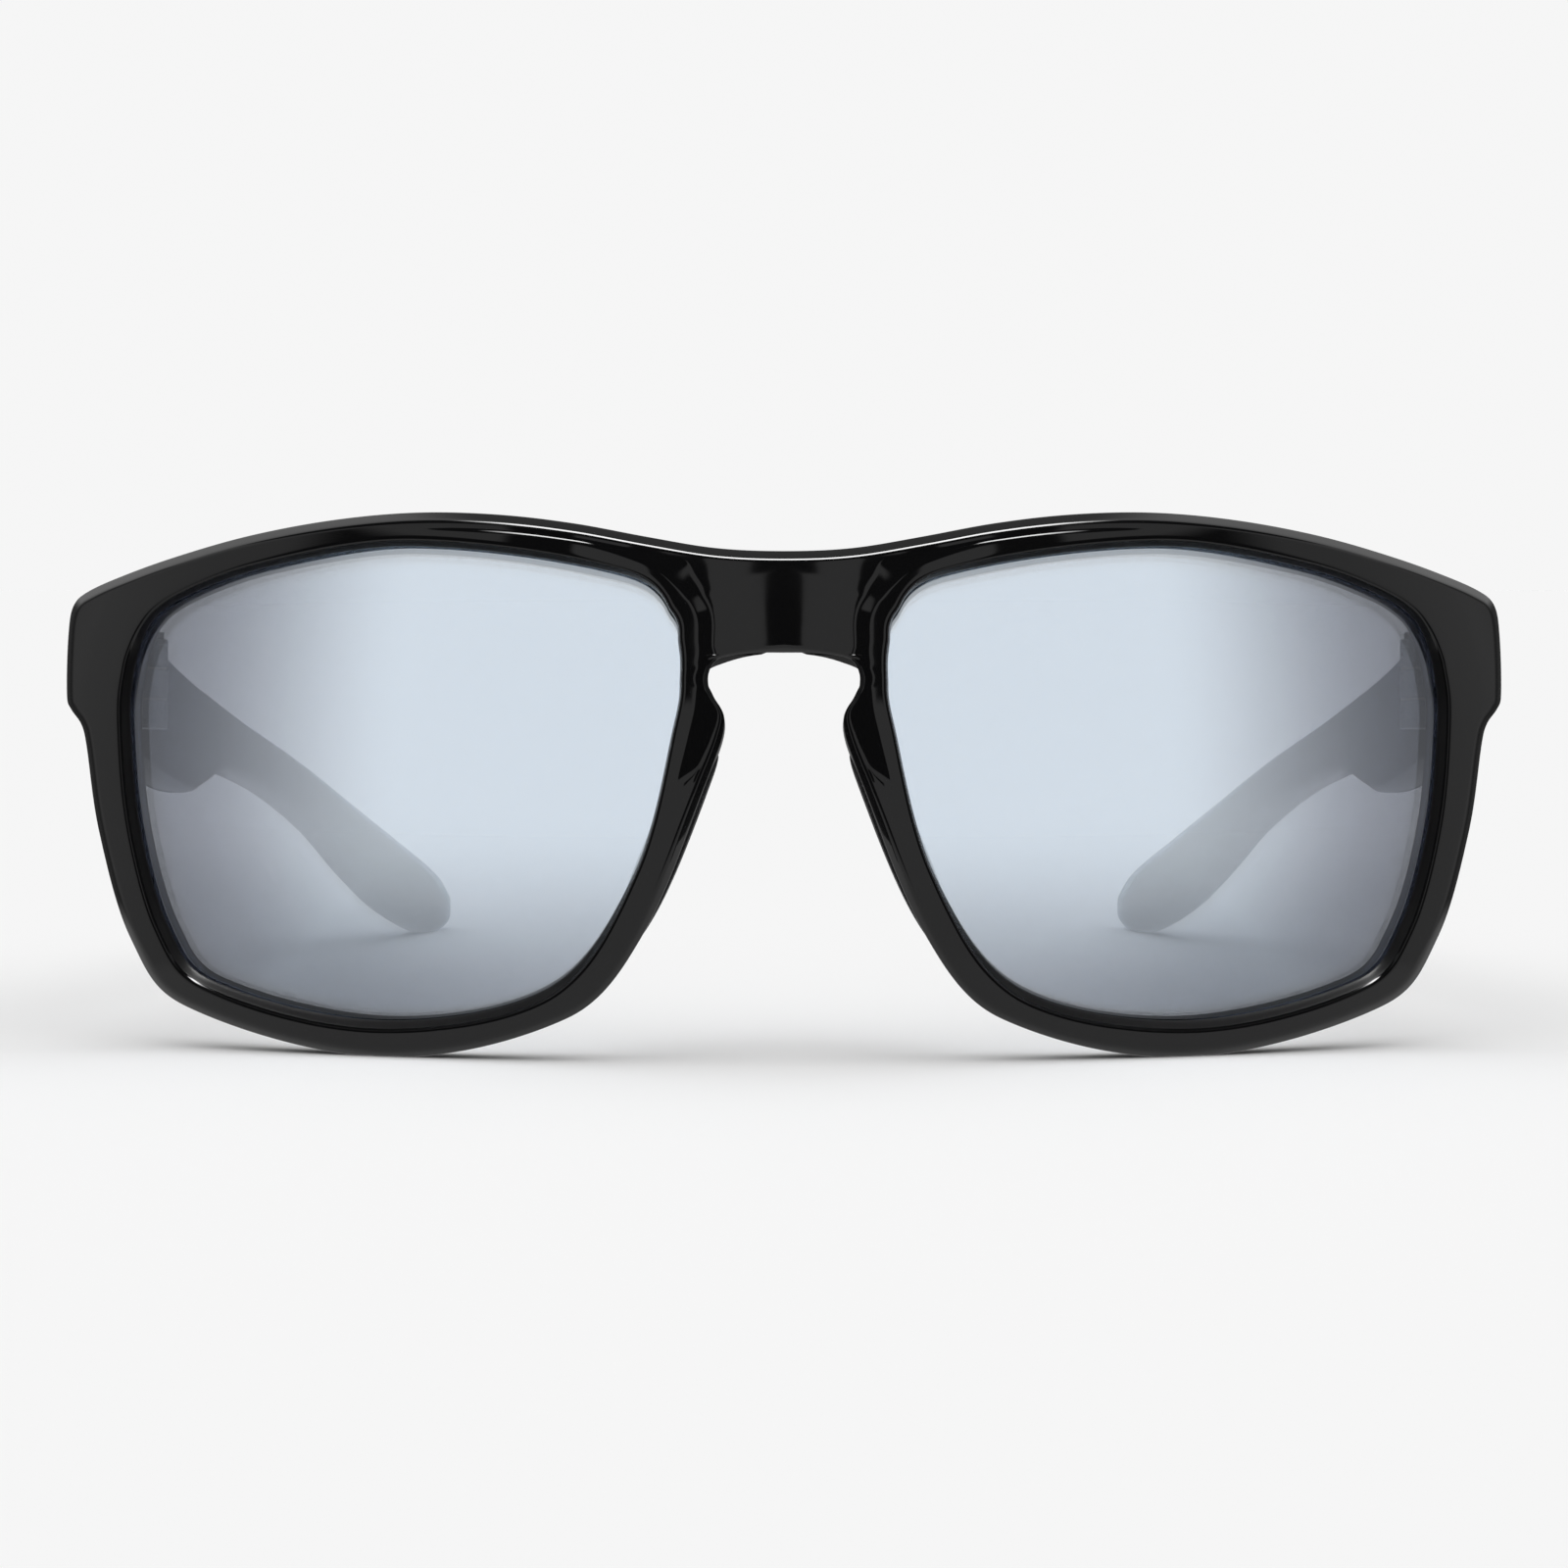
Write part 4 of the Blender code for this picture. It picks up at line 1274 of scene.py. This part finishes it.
@dataclass
class NosePad:
    """A rubber pad that wraps the nose side of the rim. Sizes in millimetres.

    Attributes:
        side: The side that it is on.
        start: Its first station along the outer edge.
        end: Its last station.
        slices: Spans along it.
        section: Distance out from the edge and depth, at its thickest.
        front_depth: Depth of the section's front part, towards which its ends shrink.
        rear_from: Depth from which the section shrinks towards the root instead.
        root: Where the rear part's ends close, as distance out and depth.
        swell: How full the pad stays towards its ends.
        sides: Points round the section.
    """

    side: Side
    start: float = 30.4
    end: float = 34.9
    slices: int = 40
    section: SmoothCurve = SmoothCurve(
        (
            (0, 0.22, 4.6), (1, 0.36, 4.9), (2, 0.40, 5.6), (3, 0.36, 6.6), (4, 0.0, 8.2),
            (5, -1.0, 10.2), (6, -2.4, 11.4), (7, -3.6, 11.2), (8, -3.7, 10.2), (9, -2.9, 8.8),
            (10, -2.0, 7.4), (11, -0.7, 7.1), (12, 0.26, 5.9), (13, 0.22, 4.6),
        ),
        closed=True,
    )
    front_depth: float = 5.9
    rear_from: float = 6.6
    root: tuple[float, float] = (-0.9, 7.2)
    swell: float = 2.6
    sides: int = 52

    def build(self, finishes: Finishes) -> bpy.types.Object:
        """Builds the pad.

        Args:
            finishes: The materials.

        Returns:
            The finished pad.
        """
        front = FrontMoulding()

        def place(i: int, j: int) -> Vector:
            """A point of the pad.

            Args:
                i: Its number round the section.
                j: Its number along the pad.

            Returns:
                The point in the world.
            """
            share = min(1.0, max(0.0, (j - 1) / (self.slices - 2)))
            station = self.start + (self.end - self.start) * share
            size = max(0.05, math.sqrt(max(0.0, 1.0 - abs(2.0 * share - 1.0) ** self.swell)))
            out, depth = self.section.at(self.section.knots[-1][0] * i / self.sides)
            if j in (0, self.slices):
                out, depth = self.root
            elif depth > self.rear_from:
                out, depth = Vector(self.root).lerp(Vector((out, depth)), size)
            else:
                out = -0.2 + (0.86 * out + 0.2) * size
                depth = self.front_depth + (depth - self.front_depth) * size
            spot = outline_at(station, -out)
            wall_top = front.edge_profile(station)[-1][1]
            return STANCE.world(FACE.point(spot.x, spot.y, depth, wall_top), self.side)

        obj = bar_piece(f"soft_nose_pad_{self.side.word}", self.sides, self.slices, place)
        face_out(obj)
        smooth(obj, 50.0)
        finishes.dress(obj, finishes.pad)
        return settle(obj, Body.FRONT, Slot.PAD, f"nose_pad_{self.side.word}")


# ---------------------------------------------------------------------------------------------------------
# Temples
# ---------------------------------------------------------------------------------------------------------


@dataclass
class Temple:
    """A moulded temple: broad at the hinge, stepped below, curving in and down to a rounded tip.

    Attributes:
        side: The side that it is on.
        start_y: Distance back at which it starts.
        end_y: Distance back of its tip.
        inner_x: Its inner face's distance from the mirror plane at the hinge.
        tuck: How far the tip is drawn in.
        tuck_start_y: Distance back from which it is drawn in.
        corner: Radius of its long edges.
        top: Height of its upper edge, by distance back.
        bottom: Height of its lower edge.
        thick: Thickness.
        full_thick: Thickness below which the tip is centred instead of flush with the inner face.
        tip_y: Distance back at which the tip starts.
        even_end_y: Distance back up to which the rings are even.
        tip_rings: Distances from the end of the closer rings of the tip.
        rings: Spans between the two poles.
        sides: Points round each ring.
    """

    side: Side
    start_y: float = 31.3
    end_y: float = 160.0
    inner_x: float = 67.6
    tuck: float = 24.3
    tuck_start_y: float = 28.0
    corner: float = 1.1
    top: SmoothCurve = SmoothCurve(
        (
            (28, 45.5), (44, 44.3), (64, 41.0), (88, 37.2), (110, 33.3), (130, 28.2), (149, 22.5),
            (155, 20.3), (158.4, 18.45), (159.6, 17.35), (160, 16.2),
        )
    )
    bottom: SmoothCurve = SmoothCurve(
        (
            (28, 31.9), (36, 31.4), (46, 29.9), (61, 28.1), (68, 27.9), (73, 28.9), (80, 30.5), (88, 30.5),
            (103, 28.5), (118, 24.6), (130, 19.6), (140, 15.8), (149, 13.3), (154, 12.65), (158.4, 13.75),
            (159.6, 15.0), (160, 16.2),
        )
    )
    thick: Knots = ((28, 4.1), (48, 4.1), (88, 3.5), (138, 3.8), (154, 3.6), (159, 2.6), (160, 1.2))
    full_thick: float = 4.0
    tip_y: float = 148.0
    even_end_y: float = 153.0
    tip_rings: tuple[float, ...] = (
        7.0, 6.0, 5.0, 4.1, 3.3, 2.6, 2.0, 1.5, 1.08, 0.74, 0.47, 0.26, 0.11, 0.03,
    )
    rings: int = 150
    sides: int = 48

    def ring_place(self, y: float, turn: float, shrink: float = 1.0) -> Vector:
        """A point of a section.

        Args:
            y: Distance back.
            turn: Share of the way round, from 0 to 1.
            shrink: Share of the section's size.

        Returns:
            The point in the front's frame.
        """
        low, high = self.bottom.at(y)[0], self.top.at(y)[0]
        thick = level(self.thick, y)
        inner = self.inner_x - self.tuck * ((y - self.tuck_start_y) / (self.end_y - self.tuck_start_y)) ** 2
        tip_share = ease((y - self.tip_y) / (self.end_y - self.tip_y))
        inner += 0.5 * (self.full_thick - min(self.full_thick, thick)) * tip_share
        half_high, half_thick = max(0.2, 0.5 * (high - low)), 0.5 * thick
        corner = min(self.corner, 0.9 * half_thick, 0.9 * half_high)
        quarter, within = divmod(turn * 4.0, 1.0)
        sign_x = 1.0 if quarter in (0.0, 3.0) else -1.0
        sign_z = 1.0 if quarter in (0.0, 1.0) else -1.0
        straight_z, straight_x = half_high - corner, half_thick - corner
        run = straight_z if quarter in (0.0, 2.0) else straight_x
        after = straight_x if quarter in (0.0, 2.0) else straight_z
        arc = 0.5 * math.pi * corner
        total = run + arc + after
        travelled = within * total
        angle = 0.5 * math.pi * min(1.0, max(0.0, (travelled - run) / arc))
        angle += 0.5 * math.pi * quarter
        x = sign_x * straight_x + corner * math.cos(angle)
        z = sign_z * straight_z + corner * math.sin(angle)
        if travelled < run:
            back = run - travelled
            x, z = (x, z - sign_z * back) if quarter in (0.0, 2.0) else (x - sign_x * back, z)
        elif travelled > run + arc:
            onward = travelled - run - arc
            x, z = (x - sign_x * onward, z) if quarter in (0.0, 2.0) else (x, z - sign_z * onward)
        middle_x = inner + half_thick
        return Vector((middle_x + x * shrink, y, 0.5 * (low + high) + z * shrink))

    def ring_plan(self) -> list[tuple[float, float]]:
        """Where the rings between the two poles lie.

        Returns:
            Each ring's distance back and the share of the section's size that it has.
        """
        start = self.start_y
        plan = [(start, 0.5), (start, 0.93), (start + 0.03, 0.975), (start + 0.12, 0.995)]
        even = self.rings - 1 - len(plan) - len(self.tip_rings)
        for i in range(even):
            plan.append((start + 0.3 + (self.even_end_y - start - 0.3) * i / even, 1.0))
        plan += [(self.end_y - to_end, 1.0) for to_end in self.tip_rings]
        return plan

    def build(self, finishes: Finishes) -> bpy.types.Object:
        """Builds the temple.

        Args:
            finishes: The materials.

        Returns:
            The finished temple.
        """
        plan = self.ring_plan()

        def place(i: int, j: int) -> Vector:
            """A point of the temple, no lower than the floor.

            Args:
                i: Its number round the ring.
                j: The ring's number, the first and the last being the poles.

            Returns:
                The point in the world.
            """
            y, shrink = plan[min(len(plan) - 1, max(0, j - 1))]
            if j == 0:
                shrink = 0.0
            if j == self.rings:
                y, shrink = self.end_y, 0.0
            point = STANCE.world(self.ring_place(y, i / self.sides, shrink), self.side)
            point.z = max(point.z, 0.0)
            return point

        obj = bar_piece(f"temple_arm_{self.side.word}", self.sides, self.rings, place)
        face_out(obj)
        smooth(obj, 50.0)
        finishes.dress(obj, finishes.nylon)
        return settle(obj, Body.temple(self.side), Slot.FRAME, f"temple_{self.side.word}")


# ---------------------------------------------------------------------------------------------------------
# Studio
# ---------------------------------------------------------------------------------------------------------


@dataclass(frozen=True)
class Directions:
    """Directions from the middle of a tent, as node sockets, for drawing lights on it.

    Attributes:
        nodes: The writer of the tent's tree.
        azimuth: Angle from the front, the same to both sides, in degrees.
        elevation: Angle above the floor, in degrees.
        pitch: Angle up from the front over the top to the back, in degrees.
        side: Share of the direction that points sideways.
    """

    nodes: Nodes
    azimuth: bpy.types.NodeSocket
    elevation: bpy.types.NodeSocket
    pitch: bpy.types.NodeSocket
    side: bpy.types.NodeSocket

    @staticmethod
    def of(nodes: Nodes, place: bpy.types.NodeSocket) -> "Directions":
        """The directions of a place on the tent.

        Args:
            nodes: The writer of the tent's tree.
            place: The place, seen from the middle.

        Returns:
            The directions.
        """
        unit = nodes.add("ShaderNodeVectorMath", operation="NORMALIZE")
        nodes.feed(unit, 0, place)
        x, y, z = nodes.add("ShaderNodeSeparateXYZ", Vector=unit.outputs[0]).outputs
        side = nodes.maths("ABSOLUTE", x)
        toward = nodes.maths("MULTIPLY", y, -1.0)
        return Directions(
            nodes,
            nodes.maths("DEGREES", nodes.maths("ARCTAN2", side, toward)),
            nodes.maths("DEGREES", nodes.maths("ARCSINE", z)),
            nodes.maths("DEGREES", nodes.maths("ARCTAN2", z, toward)),
            side,
        )


Glow = Callable[[Directions], bpy.types.NodeSocket]


@dataclass
class Studio:
    """A pale floor under a white sky, light tents that only the glossy pieces mirror, and the camera.

    Attributes:
        floor_shade: Brightness of the floor and of the backdrop.
        floor_size: Width of the floor, in metres.
        floor_drop: How far below the object it lies, in metres.
        sky_power: How strongly the sky brightens towards the zenith.
        sky_strength: Its brightness at the zenith.
        camera_place: Place of the camera, in metres.
        camera_pitch_deg: Its angle above the horizontal.
        camera_lens: Its focal length.
    """

    floor_shade: float = 0.92
    floor_size: float = 60.0
    floor_drop: float = 0.00002
    sky_power: float = 2.0
    sky_strength: float = 2.0
    camera_place: tuple[float, float, float] = (0.0, -0.481335, 0.04562)
    camera_pitch_deg: float = -2.70
    camera_lens: float = 97.2

    def add_floor(self) -> None:
        """A wide pale floor that looks about as bright as the backdrop behind it."""
        deselect()
        bpy.ops.mesh.primitive_plane_add(size=self.floor_size, location=(0.0, 0.0, -self.floor_drop))
        floor = named("studio_floor")
        material, nodes, shader = new_material("studio_paper")
        shader.inputs["Base Color"].default_value = (*[self.floor_shade] * 3, 1.0)
        shader.inputs["Roughness"].default_value = 1.0
        shader.inputs["Specular IOR Level"].default_value = 0.0
        floor.data.materials.append(material)
        floor.visible_glossy = False

    def add_world(self) -> None:
        """A white sky, brightest overhead, that the camera sees as an even backdrop like the floor."""
        world = bpy.data.worlds.new("studio_world")
        bpy.context.scene.world = world
        world.use_nodes = True
        world.node_tree.nodes.clear()
        nodes = Nodes(world.node_tree)
        path = nodes.add("ShaderNodeLightPath")
        seen = nodes.maths("MAXIMUM", path.outputs["Is Camera Ray"], path.outputs["Is Transmission Ray"])
        way = nodes.add("ShaderNodeSeparateXYZ", Vector=nodes.add("ShaderNodeTexCoord").outputs["Generated"])
        height = nodes.maths("MAXIMUM", way.outputs["Z"], 0.0)
        light = nodes.maths("MULTIPLY", nodes.maths("POWER", height, self.sky_power), self.sky_strength)
        backdrop = nodes.maths("MULTIPLY", seen, self.floor_shade)
        lit = nodes.maths("MULTIPLY", nodes.maths("SUBTRACT", 1.0, seen), light)
        strength = nodes.maths("ADD", backdrop, lit)
        background = nodes.add("ShaderNodeBackground", Color=(1.0, 1.0, 1.0, 1.0), Strength=strength)
        nodes.add("ShaderNodeOutputWorld", Surface=background.outputs[0])

    def add_tent(self, name: str, radius: float, receivers: Sequence[bpy.types.Object], glow: Glow) -> None:
        """A light tent that only the mirror-like surfaces of its receivers see.

        Args:
            name: The tent's name.
            radius: Its radius.
            receivers: Objects that it lights. Without any, the tent is solid and hides the sky from all.
            glow: Gives its brightness by direction.
        """
        deselect()
        bpy.ops.mesh.primitive_uv_sphere_add(segments=96, ring_count=48, radius=radius)
        tent = named(name)
        edit_all(tent, bpy.ops.mesh.flip_normals)
        material, nodes = bare_material(name)
        place = nodes.add("ShaderNodeTexCoord").outputs["Object"]
        emission = nodes.add("ShaderNodeEmission", Strength=glow(Directions.of(nodes, place)))
        if receivers:
            clear = nodes.add("ShaderNodeBsdfTransparent")
            both = nodes.tree.nodes.new("ShaderNodeAddShader")
            nodes.feed(both, 0, emission.outputs[0])
            nodes.feed(both, 1, clear.outputs[0])
            nodes.add("ShaderNodeOutputMaterial", Surface=both.outputs[0])
            gathered = bpy.data.collections.new(f"{name}_receivers")
            for obj in receivers:
                gathered.objects.link(obj)
            tent.light_linking.receiver_collection = gathered
        else:
            nodes.add("ShaderNodeOutputMaterial", Surface=emission.outputs[0])
        material.cycles.emission_sampling = "NONE"
        tent.data.materials.append(material)
        for kind in ("camera", "diffuse", "transmission", "volume_scatter", "shadow"):
            setattr(tent, f"visible_{kind}", False)

    @staticmethod
    def lens_glow(way: Directions) -> bpy.types.NodeSocket:
        """What the lenses mirror: a broad even front that falls off outwards and downwards.

        Args:
            way: The directions.

        Returns:
            The brightness.
        """
        below = way.nodes.ramp(way.elevation, -24.0, 3.0, 32.0, 0.0)
        across = way.nodes.ramp(way.nodes.maths("ADD", way.azimuth, below), 36.0, 84.0, 1.0, 0.25)
        down = way.nodes.ramp(way.elevation, -24.0, 5.0, 0.34, 1.0)
        return way.nodes.chain("MULTIPLY", across, down, 0.72)

    @staticmethod
    def frame_glow(way: Directions) -> bpy.types.NodeSocket:
        """What the black frame mirrors: cards in front, beside and below, dark gaps, and an overhead strip.

        Args:
            way: The directions.

        Returns:
            The brightness.
        """
        nodes, azimuth, elevation = way.nodes, way.azimuth, way.elevation
        front = nodes.chain(
            "MULTIPLY",
            nodes.ramp(azimuth, 13.5, 15.0, 0.73, 0.0),
            nodes.ramp(elevation, 42.0, 44.0, 1.0, 0.0),
        )
        side = nodes.chain(
            "MULTIPLY", nodes.ramp(azimuth, 52.0, 64.0, 0.0, 0.6), nodes.ramp(azimuth, 92.0, 108.0, 1.0, 0.2)
        )
        lower = nodes.ramp(elevation, -16.0, -10.0, 0.75, 0.0)
        upper = nodes.chain(
            "MULTIPLY", nodes.ramp(elevation, 38.0, 40.0, 0.0, 0.7), nodes.ramp(azimuth, 24.0, 27.0, 0.0, 1.0)
        )
        top_gap = nodes.ramp(elevation, 47.0, 49.5, 1.0, 0.0)
        middle_gap = nodes.chain(
            "MAXIMUM", nodes.ramp(azimuth, 2.0, 2.2, 0.0, 1.0), nodes.ramp(elevation, 18.0, 20.0, 1.0, 0.0)
        )
        cards = nodes.chain("MAXIMUM", front, side, upper, lower)
        cards = nodes.chain("MULTIPLY", cards, top_gap, middle_gap)
        strip = nodes.chain(
            "MULTIPLY",
            nodes.ramp(way.pitch, 70.0, 73.0, 0.0, 28.0),
            nodes.ramp(way.pitch, 94.0, 98.0, 1.0, 0.0),
            nodes.ramp(way.side, 0.16, 0.28, 1.0, 0.0),
        )
        behind = nodes.chain(
            "MULTIPLY",
            nodes.ramp(azimuth, 165.0, 148.0, 0.28, 0.95),
            nodes.ramp(azimuth, 100.0, 120.0, 0.0, 1.0),
            nodes.ramp(elevation, 16.0, 26.0, 0.15, 1.0),
        )
        return nodes.chain("ADD", nodes.maths("MAXIMUM", cards, behind), strip, 0.03)

    @staticmethod
    def no_glow(way: Directions) -> bpy.types.NodeSocket:
        """Nothing at all."""
        return way.nodes.maths("MULTIPLY", way.side, 0.0)

    def add_camera(self) -> None:
        """The camera, low in front of the glasses."""
        deselect()
        bpy.ops.object.camera_add(location=self.camera_place)
        camera = bpy.context.active_object
        camera.name = "studio_camera"
        camera.rotation_euler = (math.radians(90.0 + self.camera_pitch_deg), 0.0, 0.0)
        camera.data.lens = self.camera_lens
        camera.data.sensor_width = 36.0
        camera.data.clip_start = 0.01
        bpy.context.scene.camera = camera

    def build(self, shiny: Sequence[bpy.types.Object], lenses: Sequence[bpy.types.Object]) -> None:
        """Sets up the floor, the light and the camera.

        Args:
            shiny: The pieces that mirror the cards.
            lenses: The pieces that mirror the broad front.
        """
        bpy.context.scene.view_settings.view_transform = "Standard"
        self.add_floor()
        self.add_world()
        self.add_tent("frame_tent", 1.6, shiny, self.frame_glow)
        self.add_tent("lens_tent", 1.8, lenses, self.lens_glow)
        self.add_tent("black_tent", 2.0, [], self.no_glow)
        self.add_camera()


def main() -> None:
    """Builds every piece, dresses it and sets up the studio."""
    logging.basicConfig(level=logging.INFO, format="%(name)s: %(message)s")
    finishes = Finishes()
    shiny = [FrontMoulding().build(finishes)]
    lenses = []
    for side in Side:
        lenses.append(Lens(side).build(finishes))
        lenses[-1].visible_shadow = False
        shiny.append(NosePad(side).build(finishes))
        shiny.append(Temple(side).build(finishes))
    for name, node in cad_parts.items():
        if node.hide_render:
            continue
        finishes.dress(node, finishes.washer if "washer" in name else finishes.steel)
        LOG.info("%s: dressed in %s", name, node.data.materials[0].name)
        shiny.append(node)
    Studio().build(shiny, lenses)


if __name__ == "__main__":
    main()
